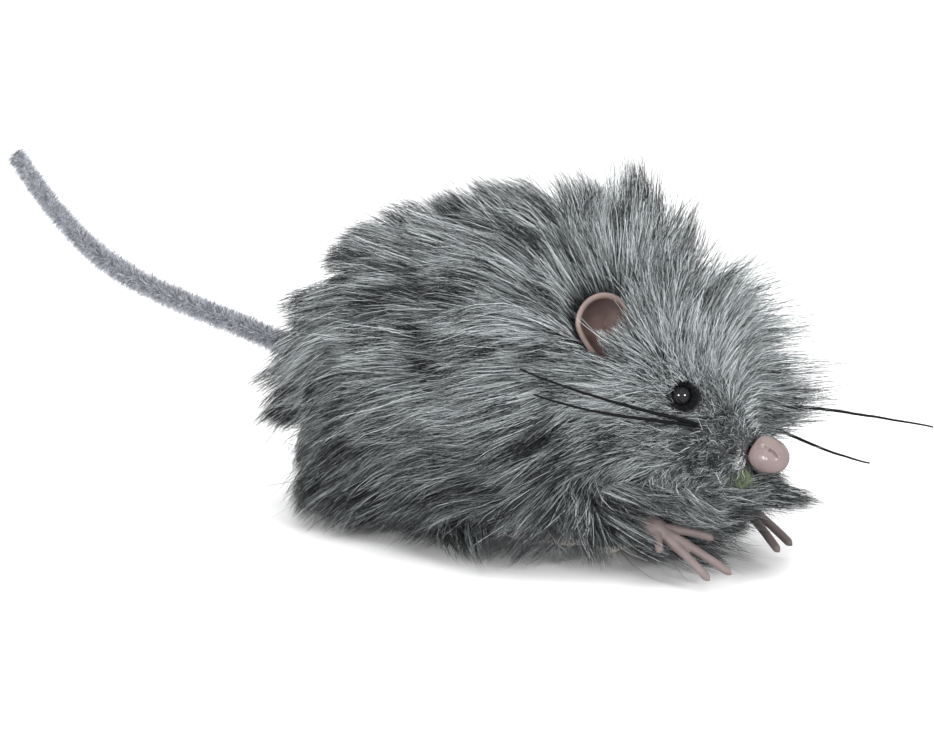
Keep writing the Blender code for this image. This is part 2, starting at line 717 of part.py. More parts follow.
def make_gears():
    out, window_r = GREAT_WINDOW
    windows = [circle(at, window_r) for at in circle((0, 0), out, 4)]
    make_gear("great_wheel", GREAT_TEETH, WINDING_ARBOR, GREAT_Y, ARBOR_R + GAP, "brass", windows)
    make_gear("second_pinion", SECOND_PINION_TEETH, SECOND_ARBOR, SECOND_PINION_Y, SHAFT_R + GRIP, "steel")
    make_gear("second_wheel", SECOND_TEETH, SECOND_ARBOR, SECOND_Y, SHAFT_R + GRIP, "brass")
    make_gear("axle_pinion", AXLE_PINION_TEETH, REAR_AXLE, AXLE_PINION_Y, AXLE_R + GRIP, "steel")


def make_frame_plates():
    outline = rounded(FRAME_OUTLINE, FRAME_CORNER_R)
    bottom = FRAME_OUTLINE[0][1]
    tab_points = []
    for x0, x1 in reversed(TABS):
        tab_points += [(x1, bottom), (x1, TAB_BOTTOM), (x0, TAB_BOTTOM), (x0, bottom)]
    holes = [
        circle(REAR_AXLE, AXLE_R + GAP),
        circle(SECOND_ARBOR, SHAFT_R + GAP),
        circle(WINDING_ARBOR, ARBOR_R + GAP),
    ]
    holes += [circle(at, PILLAR_END_R + GAP) for at in PILLARS.values()]
    for name, y in (("right_frame_plate", -FRAME_Y), ("left_frame_plate", FRAME_Y)):
        stand(plate(name, [outline + tab_points] + holes, FRAME_THICK, "steel"), y)


def make_pillars():
    half = FRAME_Y - FRAME_THICK / 2 - GAP
    end = FRAME_Y + FRAME_THICK / 2 + 0.4
    upper = [(0, end), (PILLAR_END_R, end), (PILLAR_END_R, half), (PILLAR_R, half)]
    profile = upper + [(r, -h) for r, h in reversed(upper)]
    for name, (x, z) in PILLARS.items():
        turned(name, profile, "steel", mm(x, 0, z), (0, 1, 0), 10)


def make_mainspring():
    """A spiral strip whose outer end runs out to its pillar."""
    x, z = WINDING_ARBOR
    px, pz = PILLARS["spring_pillar"]
    end_angle = math.atan2(pz - z, px - x)
    end_r = math.hypot(px - x, pz - z) - PILLAR_R - GAP - SPRING_STRIP
    steps = int(SPRING_TURNS * 12)
    middle = []
    for i in range(steps + 1):
        t = i / steps
        angle = end_angle + 2 * math.pi * SPRING_TURNS * (1 - t)
        run_out = max(0.0, (t - 0.93) / 0.07) ** 2 * (end_r - SPRING_OUTER_R)
        middle.append((angle, SPRING_INNER_R + (SPRING_OUTER_R - SPRING_INNER_R) * t + run_out))
    half = SPRING_STRIP / 2
    outer = [((r + half) * math.cos(a), (r + half) * math.sin(a)) for a, r in middle]
    inner = [((r - half) * math.cos(a), (r - half) * math.sin(a)) for a, r in middle]
    spring = plate("mainspring", [outer + inner[::-1]], SPRING_Y[1] - SPRING_Y[0], "steel")
    return stand(spring, sum(SPRING_Y) / 2, x, z)


def make_winding_arbor():
    """The shaft that the key turns, with a collar that holds the mainspring's inner end."""
    collar = SPRING_INNER_R - SPRING_STRIP / 2 - GRIP
    near, far = SPRING_Y[0] - GAP, SPRING_Y[1] + 0.9
    left, right = KEY_BORE_Y - 1.0, -(FRAME_Y + FRAME_THICK + GAP)
    profile = [
        (0, left), (ARBOR_R - 0.3, left), (ARBOR_R, left - 0.5), (ARBOR_R, far), (collar, far),
        (collar, near), (ARBOR_R, near), (ARBOR_R, right), (0, right),
    ]
    turned("winding_arbor", profile, "steel", mm(WINDING_ARBOR[0], 0, WINDING_ARBOR[1]), (0, 1, 0), 16)


def make_click_spring():
    """A three-armed spring washer that clicks over the great wheel's windows when the key is wound."""
    arms, root_half, tip_half = 3, 0.62, 0.14
    inner, outer = CLICK_ARM
    outline = []
    for i in range(arms):
        a = 2 * math.pi * i / arms
        for r, turn in ((inner, -root_half), (outer, -tip_half), (outer, tip_half), (inner, root_half)):
            outline.append((r * math.cos(a + turn), r * math.sin(a + turn)))
    bore = circle((0, 0), ARBOR_R + GRIP)
    click = plate("click_spring", [outline, bore], CLICK_Y[1] - CLICK_Y[0], "steel")
    stand(click, sum(CLICK_Y) / 2, *WINDING_ARBOR)


def make_winding_key():
    """A butterfly key: two looped wings on a tube that grips the arbor."""
    x, z = WINDING_ARBOR
    span, (near, far) = KEY_WING_SPAN, KEY_WING_Y
    middle_y = (near + far) / 2
    reach = (far - near) / 2
    wing = [(-span, 0.0), (-span * 0.86, reach * 0.78), (-span * 0.5, reach), (0, reach * 0.55)]
    upper = wing + [(-px, py) for px, py in reversed(wing[:-1])]
    outline = upper + [(px, -py) for px, py in reversed(upper[1:-1])]
    holes = [circle((side * span * 0.56, 0), reach * 0.5) for side in (-1, 1)]
    curve = plate("key_wings", [outline] + holes, KEY_THICK)
    at = mm(x, middle_y, z)
    wings = to_mesh(add_cutter("key_wings", curve, at))
    shank = cylinder("winding_key", (0, mm(KEY_SHANK[0] - middle_y), 0), (0, 0, 0), mm(KEY_SHANK_R))
    key = add("winding_key", shank, "steel", at)
    boolean(key, wings, "UNION")
    bore = cylinder("key_bore", mm(x, KEY_SHANK[0] - 5, z), mm(x, KEY_BORE_Y, z), mm(ARBOR_R + GRIP))
    boolean(key, add_cutter("key_bore", bore))


def make_shafts():
    shafts = [
        ("second_arbor", SECOND_ARBOR, SHAFT_R, FRAME_Y + 0.9, 10),
        ("rear_axle", REAR_AXLE, AXLE_R, WHEEL_Y[1] + 0.8, 16),
        ("roller_pin", (ROLLER_X, ROLLER_R), ROLLER_PIN_R, ROLLER_EAR_Y[1] + 0.7, 12),
    ]
    for name, (x, z), radius, end, steps in shafts:
        profile = [(0, end), (radius, end), (radius, -end), (0, -end)]
        turned(name, profile, "steel", mm(x, 0, z), (0, 1, 0), steps)


# ---------------------------------------------------------------- wheels
def roll(name, profile, slot, at, steps):
    """A turned wheel about Y, from a ring profile in mm, that rests on a flat of its tread."""
    wheel = turned(name, profile[::-1], slot, at, (0, 1, 0), steps, ring=True)
    flat_down = Matrix.Rotation(math.pi / steps, 3, "Y")
    wheel.rotation_euler = (flat_down @ turning((0, 1, 0)).to_3x3()).to_euler()


def make_wheels():
    corner = 1 / math.cos(math.pi / WHEEL_STEPS)  # puts a flat of the tread, not a corner, at the radius
    half, web = (WHEEL_Y[1] - WHEEL_Y[0]) / 2, 0.8
    rim, bore, hub_r = (WHEEL_R - TYRE_DEPTH) * corner, AXLE_R + GRIP, 3.0
    hub = [
        (bore, half), (bore, -half), (hub_r, -half), (rim - 1.4, -web), (rim - 1.4, -half),
        (rim, -half), (rim, half), (rim - 1.4, half), (rim - 1.4, web), (hub_r, half),
    ]
    inner, outer, shoulder = rim + 0.15, WHEEL_R * corner, 0.5
    tread = [
        (inner, half), (inner, -half), (outer - shoulder, -half), (outer, shoulder - half),
        (outer, half - shoulder), (outer - shoulder, half),
    ]
    for side in ("right", "left"):
        y = side_of(side) * (WHEEL_Y[0] + WHEEL_Y[1]) / 2
        at = mm(REAR_AXLE[0], y, REAR_AXLE[1])
        roll(f"{side}_drive_wheel", hub, "nylon", at, WHEEL_STEPS)
        roll(f"{side}_tyre", tread, "rubber", at, WHEEL_STEPS)


def make_front_roller():
    outer = ROLLER_R / math.cos(math.pi / ROLLER_STEPS)
    bore, half, shoulder = ROLLER_PIN_R + GAP, ROLLER_HALF, 0.6
    profile = [
        (bore, -half), (outer - shoulder, -half), (outer, shoulder - half),
        (outer, half - shoulder), (outer - shoulder, half), (bore, half),
    ]
    roll("front_roller", profile, "nylon", mm(ROLLER_X, 0, ROLLER_R), ROLLER_STEPS)


# ---------------------------------------------------------------- face, paws and tail
def quarter_turn(steps=4):
    """Angles from the pole of a dome down to its rim."""
    return [i * math.pi / 2 / steps for i in range(steps + 1)]


def make_eyes():
    """Half beads on pegs, each held inside the shell by a push washer."""
    waist, back, end = 1.3, 0.9, -4.6
    dome = [(EYE_R * math.sin(a), waist + EYE_R * 1.05 * math.cos(a)) for a in quarter_turn()]
    profile = dome + [(EYE_R * 0.96, back), (EYE_PEG_R, back), (EYE_PEG_R, end), (0, end)]
    for side in ("right", "left"):
        at, out = eye_frame(side)
        turned(f"{side}_eye", profile, "bead", at, out, 12)
        push_washer(f"{side}_eye_washer", at - out * mm(SHELL_WALL + 0.8), out, EYE_PEG_R)


def make_ears():
    """Shallow cups on pegs."""
    bowl = [(EAR_R * math.sin(a), -EAR_DEPTH * math.cos(a)) for a in quarter_turn()]
    hollow_r, hollow_depth, edge = EAR_R - EAR_WALL, EAR_DEPTH - 0.4, EAR_WALL * 0.4
    hollow = [(hollow_r * math.sin(a), edge - hollow_depth * math.cos(a)) for a in quarter_turn()]
    lip = [(EAR_R - EAR_WALL / 2, EAR_WALL * 0.75), (EAR_R, EAR_WALL * 0.3)]
    outside = [p for p in reversed(bowl) if p[0] > PEG_R]
    end = -EAR_DEPTH - EAR_PEG
    profile = hollow + lip + outside + [(PEG_R, -EAR_DEPTH), (PEG_R, end), (0, end)]
    for side in ("right", "left"):
        x, y, z = EAR_CENTRE
        centre, out = mm(x, y * side_of(side), z), facing(side, EAR_FACING)
        turned(f"{side}_ear", profile, "vinyl", centre, out, 16)
        push_washer(f"{side}_ear_washer", centre + out * mm(end + 1.3), out, PEG_R)


def make_nose():
    length = NOSE_TIP - NOSE_BACK
    shape = [(0.0, 1.0), (0.42, 0.955), (0.74, 0.82), (0.94, 0.62), (1.0, 0.40), (0.93, 0.17), (0.80, 0.0)]
    profile = [(r * NOSE_R, h * length) for r, h in shape]
    profile += [(PEG_R, 0.0), (PEG_R, -NOSE_PEG), (0, -NOSE_PEG)]
    turned("nose", profile, "vinyl", mm(NOSE_BACK, 0, NOSE_Z), (1, 0, 0), 16)
    push_washer("nose_washer", mm(NOSE_BACK - NOSE_PEG + 1.2, 0, NOSE_Z), (1, 0, 0), PEG_R, 2.6)


def push_washer(name, at, axis, shank, outer=None):
    """A thin push-on washer that holds a moulded peg inside the shell."""
    bore = shank + GRIP
    rim = outer or bore + 1.3
    half = 0.3
    turned(name, [(bore, half), (rim, half), (rim, -half), (bore, -half)], "steel", at, axis, 12, ring=True)


def make_whiskers():
    for name in WHISKER_TIPS:
        root, tip, out = whisker_line(name)
        start = root - out * mm(3.0)
        droop = Vector((0, 0, -1)) * mm(WHISKER_BOW)
        shares = [i / 6 for i in range(7)]
        points = [start + (tip - start) * t + droop * (4 * t * t * (1 - t)) for t in shares]
        tube(name, points, mm(WHISKER_R), "bristle", 1)


def capsule(name, start, end, start_radius, end_radius, segments=8):
    """A round-ended, tapered bar between two points in metres."""
    bm = bmesh.new()
    bmesh.ops.create_uvsphere(bm, u_segments=segments, v_segments=6, radius=1.0)
    half = (end - start).length / 2
    for vert in bm.verts:
        top = vert.co.z > 1e-6
        vert.co *= end_radius if top else start_radius
        vert.co.z += half if top else -half
    place = Matrix.Translation((start + end) / 2) @ turning(end - start)
    bmesh.ops.transform(bm, matrix=place, verts=bm.verts)
    return mesh_of(name, bm)


def make_forepaws():
    for side in ("right", "left"):
        palm = paw_point(side, PALM)
        bm = bmesh.new()
        bmesh.ops.create_uvsphere(bm, u_segments=12, v_segments=8, radius=1.0)
        stretch = Matrix.Diagonal([mm(r) for r in PALM_R] + [1.0])
        tilt = Matrix.Rotation(PALM_TILT, 4, "Y")
        bmesh.ops.transform(bm, matrix=Matrix.Translation(palm) @ tilt @ stretch, verts=bm.verts)
        paw = add(f"{side}_forepaw", mesh_of(f"{side}_forepaw", bm), "vinyl")
        for i, tip in enumerate(FINGER_TIPS):
            end = paw_point(side, tip)
            start = palm + (end - palm) * 0.1
            finger = capsule("finger", start, end, mm(FINGER_R[0]), mm(FINGER_R[1]))
            boolean(paw, add_cutter(f"{side}_finger_{i}", finger), "UNION")
        root = paw_point(side, ARM_ROOT)
        arm = cylinder("arm", root, palm, mm(ARM_R), 12)
        boolean(paw, add_cutter(f"{side}_arm", arm), "UNION")


def tail_point(t):
    x, z = smooth_through([(p[0], p[1], 0) for p in TAIL_PATH], t)[:2]
    return mm(x, 0, z)


def make_tail():
    points = [tail_point(i / TAIL_POINTS) for i in range(TAIL_POINTS + 1)]
    inside = [points[0] - (points[1] - points[0]).normalized() * mm(d) for d in (5.0, 2.5)]
    tube("tail_wire", inside + points[:-1] + [tail_point(0.992)], mm(TAIL_WIRE_R), "steel", 1)
    pile = to_mesh(tube("tail_pile", points, mm(TAIL_R), "chenille", 2, capped=False))
    pile.data.materials.append(materials["chenille"])
    wall = pile.modifiers.new("Wall", "SOLIDIFY")
    wall.thickness = mm(TAIL_R - TAIL_BORE_R)
    wall.offset = -1
    wall.use_rim = True


make_body_shell()
make_base_plate()
make_base_screws()
make_frame_plates()
make_pillars()
make_gears()
make_mainspring()
make_winding_arbor()
make_click_spring()
make_winding_key()
make_shafts()
make_wheels()
make_front_roller()
make_eyes()
make_ears()
make_nose()
make_whiskers()
make_forepaws()
make_tail()
make_coat()
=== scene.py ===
"""The clockwork mouse's looks: long faux fur, a chenille tail, vinyl face pieces and the motor's metals.

Lengths are millimetres of the mouse's own body: x forward from its middle, y to its left, z up from the
floor. at() and place() put them in the frame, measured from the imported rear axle.
"""

import itertools
import math

import bmesh
import bpy
import numpy as np
from mathutils import Matrix, Vector
from mathutils.bvhtree import BVHTree
from mathutils.kdtree import KDTree


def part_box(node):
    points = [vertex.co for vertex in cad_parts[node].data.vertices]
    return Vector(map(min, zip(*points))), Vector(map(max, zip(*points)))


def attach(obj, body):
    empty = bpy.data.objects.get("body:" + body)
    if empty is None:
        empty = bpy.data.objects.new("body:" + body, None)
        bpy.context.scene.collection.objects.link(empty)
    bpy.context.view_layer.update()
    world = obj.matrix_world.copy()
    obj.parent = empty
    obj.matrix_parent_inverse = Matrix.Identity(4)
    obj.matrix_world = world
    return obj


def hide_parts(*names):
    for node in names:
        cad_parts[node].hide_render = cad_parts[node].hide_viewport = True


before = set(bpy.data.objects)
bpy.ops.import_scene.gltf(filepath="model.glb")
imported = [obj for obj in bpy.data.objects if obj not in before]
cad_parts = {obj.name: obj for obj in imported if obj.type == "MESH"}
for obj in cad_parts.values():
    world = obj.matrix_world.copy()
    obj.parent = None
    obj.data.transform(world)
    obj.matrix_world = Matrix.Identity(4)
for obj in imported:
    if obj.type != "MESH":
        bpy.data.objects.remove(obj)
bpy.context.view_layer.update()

BODY = "mouse"
SIDES = {"right": -1, "left": 1}
ROWS = ("upper", "lower")  # of whiskers
AXLE_STATION = -30.0  # the rear axle's place along the body
SEED = 7

# Camera: it stands well back, as for a catalogue picture
CAMERA_AZIMUTH = math.radians(37.0)
CAMERA_ELEVATION = math.radians(15.0)
CAMERA_AIM = (-15.1, 0.0, 35.2)
CAMERA_DISTANCE = 5.0
FRAME_WIDTH = 0.2123  # width of the view at the mouse, in metres

# Pile, by station: (x, length on the back, length on the flank)
PILE_LENGTH = [
    (-56, 9, 9), (-50, 12, 12), (-42, 17, 17), (-20, 21, 21), (8, 23, 22), (26, 29, 22),
    (40, 29, 21), (48, 27, 17), (54, 20, 12), (59, 11, 7.5), (63, 6, 5), (66, 4, 3.6),
]
# Angle of the pile above the skin, in degrees: (x, at the root, at the tip)
PILE_LIFT = [
    (-56, 24, 0), (-46, 38, 3), (-30, 52, 10), (0, 56, 20), (14, 60, 30), (24, 72, 48), (34, 85, 70),
    (48, 80, 62), (58, 60, 36), (66, 45, 20),
]
# Long brushed-out pile of the left cheek: (x, length)
LEFT_CHEEK_PILE = [(30, 27), (44, 31), (54, 30), (60, 18), (64, 7)]
LEFT_CHEEK_WAY = (0.85, 0.30, 0.12)
CHEST_WAY = (1.0, 0.0, -0.24)
# Tufts that stand out from the pile round them: (root, way, length, angle above the skin)
TUFTS = [
    ((4, -22.5, 11), (0.80, -0.6, -0.40), 21, 50),
    ((58.5, 2, 19.5), (0.93, 0.29, -0.18), 22, 40),
    ((52, -4, 13), (0.85, 0.0, -0.45), 20, 12),
    ((-47, -13, 37), (-0.72, -0.14, -0.60), 24, 30),
    ((-45, -17, 31), (-0.70, -0.16, -0.72), 23, 30),
    ((-48, -12, 18), (-0.75, -0.20, -0.65), 15, 22),
    ((54, 12, 42), (0.70, 0.50, 0.10), 29, 62),
    ((42, 9, 56), (0.60, 0.50, 0.60), 27, 72),
    ((26, -2, 64), (0.15, 0.0, 0.30), 27, 84),
    ((36, 0, 61), (0.20, 0.0, 0.30), 27, 84),
    ((46, -2, 54), (0.10, 0.30, 0.50), 25, 76),
]
TUFT_ROOTS, TUFT_WAYS, TUFT_LENGTHS, TUFT_RISES = (np.array(column, float) for column in zip(*TUFTS))
TUFT_R = 2.6
TOP_LIMIT = 91.0  # no tip stands higher than this
TOP_EASE = 6.0  # and tips are held down from this far below it
STRANDS = 135000
STRAND_R = 0.064
UNDERCOAT_SHARE = 0.3
STRAY_SHARE = 0.06
BARE_ROUND_EYE, BARE_ROUND_NOSE = 2.9, 2.6  # radii where nothing grows
LOCK_SPACING = 6.2
WISP_SPACING = 2.1
PANEL_STRANDS = 9000
STEPS = np.array([0.0, 0.3, 0.58, 0.82, 1.0])  # shares of a strand's length: a ring at each, and its point
RINGS = np.array([1.0, 1.0, 0.85, 0.55])  # the rings' radii, as shares of the strand's

NOSE_POINT = np.array([69.0, 0.0, 29.6])
BROW_POINT = np.array([58.0, 0.0, 42.0])  # the middle of the forehead, which its pile fans out from
FUR_GREYS = 12
FUR_DARK = (0.010, 0.011, 0.012)
FUR_LIGHT = (0.74, 0.79, 0.80)
EAR_FACING = (0.60, 0.75, 0.27)


# -------- places
axle_low, axle_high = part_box("rear_axle")
ZERO = np.array([(axle_low[0] + axle_high[0]) / 2 - AXLE_STATION / 1000, 0.0, 0.0])


def at(x, y, z):
    """A body point in mm, as a frame point in metres."""
    return Vector((ZERO[0] + x / 1000, y / 1000, z / 1000))


def place(points):
    """Body points in mm, as frame points in metres."""
    return np.asarray(points) / 1000 + ZERO


def body_mm(v):
    """Frame points in metres, as mm of the body."""
    return (np.asarray(v) - ZERO) * 1000


def node_points(name):
    """The vertices of a CAD node, in mm of the body."""
    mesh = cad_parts[name].data
    verts = np.empty(len(mesh.vertices) * 3)
    mesh.vertices.foreach_get("co", verts)
    return body_mm(verts.reshape(-1, 3))


def box_mm(name):
    """Lowest and highest corners of a CAD node, in mm of the body."""
    return [body_mm(v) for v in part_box(name)]


def centre_of(name):
    low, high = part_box(name)
    return body_mm((np.array(low) + np.array(high)) / 2)


def unit(v):
    """Vectors scaled to length 1."""
    return v / np.maximum(np.linalg.norm(v, axis=-1, keepdims=True), 1e-12)


def mirrored(vector, side):
    x, y, z = vector
    return unit(np.array([x, y * SIDES[side], z]))


def smoothstep(low, high, x):
    t = np.clip((x - low) / (high - low), 0, 1)
    return t * t * (3 - 2 * t)


def mix(first, second, share):
    """first where share is 0, second where it is 1."""
    return first * (1 - share) + second * share


def look_up(table, x, column=1):
    """A column of a table at x, between its rows, where the first column is x."""
    table = np.array(table, float)
    return np.interp(x, table[:, 0], table[:, column])


# -------- materials
def set_inputs(made, values):
    for name, value in values.items():
        made.inputs[name.replace("_", " ")].default_value = value
    return made


def principled(name, colour, roughness, **values):
    material = bpy.data.materials.new(name)
    material.use_nodes = True
    shader = material.node_tree.nodes["Principled BSDF"]
    set_inputs(shader, {"Base_Color": (*colour, 1.0), "Roughness": roughness, **values})
    return material, shader


def node(material, kind, **values):
    return set_inputs(material.node_tree.nodes.new(kind), values)


def noise(material, scale, detail=4.0):
    """A noise texture in the object's own coordinates."""
    coords = material.node_tree.nodes.new("ShaderNodeTexCoord")
    made = node(material, "ShaderNodeTexNoise", Scale=scale, Detail=detail)
    material.node_tree.links.new(coords.outputs["Object"], made.inputs["Vector"])
    return made


def mottle(material, shader, first, second, scale):
    """Base colour that wanders between two colours."""
    links = material.node_tree.links
    ramp = material.node_tree.nodes.new("ShaderNodeValToRGB")
    for element, position, colour in zip(ramp.color_ramp.elements, (0.3, 0.7), (first, second)):
        element.position = position
        element.color = (*colour, 1.0)
    links.new(noise(material, scale).outputs["Fac"], ramp.inputs["Fac"])
    links.new(ramp.outputs["Color"], shader.inputs["Base Color"])


def vary_roughness(material, shader, scale, low, high):
    links = material.node_tree.links
    spread = node(material, "ShaderNodeMapRange", From_Min=0.3, From_Max=0.7, To_Min=low, To_Max=high)
    links.new(noise(material, scale).outputs["Fac"], spread.inputs["Value"])
    links.new(spread.outputs["Result"], shader.inputs["Roughness"])


def bump(material, shader, scale, strength, distance):
    links = material.node_tree.links
    made = node(material, "ShaderNodeBump", Strength=strength, Distance=distance)
    links.new(noise(material, scale).outputs["Fac"], made.inputs["Height"])
    links.new(made.outputs["Normal"], shader.inputs["Normal"])


def surface(name, first, second, roughness, mottle_scale, bump_scale, bump_depth, metallic=0.0):
    """A material with wandering colour, roughness and a fine bump. roughness is (low, high)."""
    material, shader = principled(name, first, roughness[0], Metallic=metallic)
    mottle(material, shader, first, second, mottle_scale)
    vary_roughness(material, shader, mottle_scale * 4, *roughness)
    bump(material, shader, bump_scale, 0.3, bump_depth)
    return material, shader


def vinyl(name, first, second, roughness):
    material, shader = surface(name, first, second, roughness, 260.0, 1500.0, 0.0002)
    glow = {"Subsurface_Weight": 0.15, "Subsurface_Radius": (0.6, 0.3, 0.2), "Subsurface_Scale": 0.002}
    set_inputs(shader, glow)
    return material


def fibre_greys(name, dark, light, count):
    """Fibre materials from dark to light; each piece of a fibre takes the one nearest its shade."""
    made = []
    for i in range(count):
        share = (i / (count - 1)) ** 1.6
        colour = [d + (l - d) * share for d, l in zip(dark, light)]
        material, shader = principled(f"{name}_{i:02d}", colour, 0.6, Specular_IOR_Level=0.25)
        vary_roughness(material, shader, 700.0, 0.5, 0.75)
        made.append(material)
    return made


def repaint(material, names):
    """Gives carried-over CAD nodes a material."""
    for name in names:
        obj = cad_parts[name]
        for slot in obj.material_slots:
            slot.link = "OBJECT"
            slot.material = material


def link(obj):
    bpy.context.scene.collection.objects.link(obj)
    return obj


def object_from(bm, name):
    """A smooth-shaded object made from a bmesh, which it uses up."""
    mesh = bpy.data.meshes.new(name)
    bm.to_mesh(mesh)
    bm.free()
    mesh.shade_smooth()
    return link(bpy.data.objects.new(name, mesh))


def finish_piece(obj, replaced=()):
    """The piece rides on the mouse's body and stands for its CAD nodes."""
    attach(obj, BODY)
    if replaced:
        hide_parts(*replaced)
    return obj


# -------- skin
SPINE_ENDS, SPINE_HEIGHT = (-45, 50), 31.0  # a line inside the shell, which its outer side faces away from
SKIN_PROBES = 6000
FREE_WAY = 60.0  # the outer side sees nothing of the shell this far out


class Skin:
    """The body shell's outer side, which the coat covers: triangles in mm of the body."""

    def __init__(self):
        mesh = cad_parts["body_shell"].data
        mesh.calc_loop_triangles()
        verts = node_points("body_shell")
        tris = np.empty(len(mesh.loop_triangles) * 3, int)
        mesh.loop_triangles.foreach_get("vertices", tris)
        tris = tris.reshape(-1, 3)
        corners = verts[tris]
        across = np.cross(corners[:, 1] - corners[:, 0], corners[:, 2] - corners[:, 0])
        normals, centres = unit(across), corners.mean(1)
        spine = np.zeros_like(centres)
        spine[:, 0], spine[:, 2] = np.clip(centres[:, 0], *SPINE_ENDS), SPINE_HEIGHT
        outward = np.einsum("ij,ij->i", normals, centres - spine) > 0
        tree = BVHTree.FromPolygons(verts.tolist(), tris.tolist())
        hits = [tree.ray_cast(Vector(c + n * 0.05), Vector(n), FREE_WAY)[0] for c, n in zip(centres, normals)]
        keep = outward & np.array([hit is None for hit in hits])
        self.corners, self.flat_normals = corners[keep], normals[keep]
        self.areas = np.linalg.norm(across[keep], axis=1) / 2
        self.probes, chosen = self.spread(SKIN_PROBES, np.random.default_rng(SEED))
        self.probe_normals = self.flat_normals[chosen]

    def spread(self, count, rng):
        """Random points on the skin, and the triangle that each is on."""
        chosen = rng.choice(len(self.areas), count, p=self.areas / self.areas.sum())
        r1, r2 = np.sqrt(rng.random(count)), rng.random(count)
        a, b, c = self.corners[chosen].transpose(1, 0, 2)
        return a * (1 - r1)[:, None] + b * (r1 * (1 - r2))[:, None] + c * (r1 * r2)[:, None], chosen

    def normals_at(self, points, reach=2.5):
        """Smooth normals of the skin at points, averaged over its probes nearby."""
        made = np.empty_like(points)
        for i in range(0, len(points), 2000):
            part = points[i : i + 2000]
            gap = ((part[:, None, :] - self.probes[None]) ** 2).sum(-1)
            made[i : i + 2000] = (np.exp(-gap / (2 * reach**2)) + 1e-12) @ self.probe_normals
        return unit(made)


# -------- fibres
def fibre_mesh(name, paths, radii, shades, materials, spin):
    """One mesh of closed three-sided fibres that taper to a point.

    paths is (n, len(STEPS), 3) in mm of the body, and shades the material number of each stretch.
    """
    count, knots, _ = paths.shape
    rings = knots - 1
    along = unit(np.gradient(paths, axis=1))
    seed = unit(np.cross(along[:, 0], np.column_stack([np.sin(spin), np.cos(spin), np.sin(spin * 3)])))
    verts = np.empty((count, rings * 3 + 1, 3))
    for k in range(rings):
        a = unit(seed - along[:, k] * np.einsum("ij,ij->i", seed, along[:, k])[:, None])
        b = np.cross(along[:, k], a)
        r = (radii * RINGS[k])[:, None]
        for j in range(3):
            turn = 2 * math.pi * j / 3
            verts[:, k * 3 + j] = paths[:, k] + (a * math.cos(turn) + b * math.sin(turn)) * r
    verts[:, -1] = paths[:, -1]
    faces, stretch = [[2, 1, 0]], [0]
    for k in range(rings):
        for j in range(3):
            n = (j + 1) % 3
            low = [k * 3 + j, k * 3 + n]
            faces.append(low + ([k * 3 + 3 + n, k * 3 + 3 + j] if k < rings - 1 else [rings * 3]))
            stretch.append(k)
    loops, sizes = np.concatenate(faces), np.tile([len(f) for f in faces], count)
    all_loops = (loops[None] + (np.arange(count) * verts.shape[1])[:, None]).ravel()
    mesh = bpy.data.meshes.new(name)
    mesh.vertices.add(count * verts.shape[1])
    mesh.vertices.foreach_set("co", place(verts).ravel())
    mesh.loops.add(len(all_loops))
    mesh.loops.foreach_set("vertex_index", all_loops)
    mesh.polygons.add(len(sizes))
    mesh.polygons.foreach_set("loop_start", np.concatenate([[0], np.cumsum(sizes)[:-1]]))
    mesh.polygons.foreach_set("material_index", shades[:, stretch].ravel().astype(np.int32))
    mesh.update(calc_edges=True)
    mesh.shade_smooth()
    for material in materials:
        mesh.materials.append(material)
    return link(bpy.data.objects.new(name, mesh))


CENTRE_TRIES = 12000
NEIGHBOURS = list(itertools.product((-1, 0, 1), repeat=3))


def nearest(points, centres):
    """Index of each point's nearest centre."""
    tree = KDTree(len(centres))
    for i, c in enumerate(centres):
        tree.insert(c, i)
    tree.balance()
    return np.array([tree.find(p)[1] for p in points])


def spread_centres(points, spacing, rng):
    """Some of the points, at least spacing apart, all over the surface."""
    taken, cells = [], {}
    for p in points[rng.permutation(len(points))[:CENTRE_TRIES]]:
        x, y, z = cell = tuple((p // spacing).astype(int))
        near = [q for a, b, c in NEIGHBOURS for q in cells.get((x + a, y + b, z + c), ())]
        if all(np.sum((p - q) ** 2) > spacing * spacing for q in near):
            cells.setdefault(cell, []).append(p)
            taken.append(p)
    return np.array(taken)


def curled(roots, ways, lengths, curls, bend):
    """Paths of short fibres that leave along ways and bend towards curls."""
    t = STEPS[None, :, None] * lengths[:, None, None]
    return roots[:, None] + ways[:, None] * t + curls[:, None] * t * STEPS[None, :, None] * bend


# -------- fur
def comb(points, normals):
    """Unit directions along the skin that the pile leans in.

    On the head it fans out from the brow and the nose, on the body it lies back and falls towards the
    rump and the hem, over the forepaws it hangs forward, and the left cheek is brushed out forward.
    """
    x, y, z = points.T
    side = 1 - np.clip(normals[:, 2], 0, 1)
    fall = side * (0.25 + 1.1 * smoothstep(-25, -58, x) + 0.8 * smoothstep(26, 8, z)) * (1 - swept(points))
    body = unit(np.column_stack([-np.ones(len(x)), 0.12 * np.sign(y) * smoothstep(0, 12, np.abs(y)), -fall]))
    centre = NOSE_POINT + (BROW_POINT - NOSE_POINT) * smoothstep(26, 46, z)[:, None]
    head = unit(points - centre)
    share = smoothstep(-2, 38, x)[:, None]
    lean = mix(body, head, share)
    lean = mix(lean, np.array(LEFT_CHEEK_WAY), left_cheek(points)[:, None])
    lean = mix(lean, np.array(CHEST_WAY), chest_share(points)[:, None])
    tuft, which = tuft_share(points)
    lean = mix(lean, TUFT_WAYS[which], tuft[:, None])
    lean -= normals * np.einsum("ij,ij->i", lean, normals)[:, None]
    swirl = 0.20 * np.sin(x * 0.11 + z * 0.09 + 1.0) + 0.16 * np.sin(x * 0.27 - y * 0.21 + z * 0.24)
    swirl *= 1 - 0.6 * smoothstep(35, 50, x)
    return turned(unit(lean), normals, swirl)


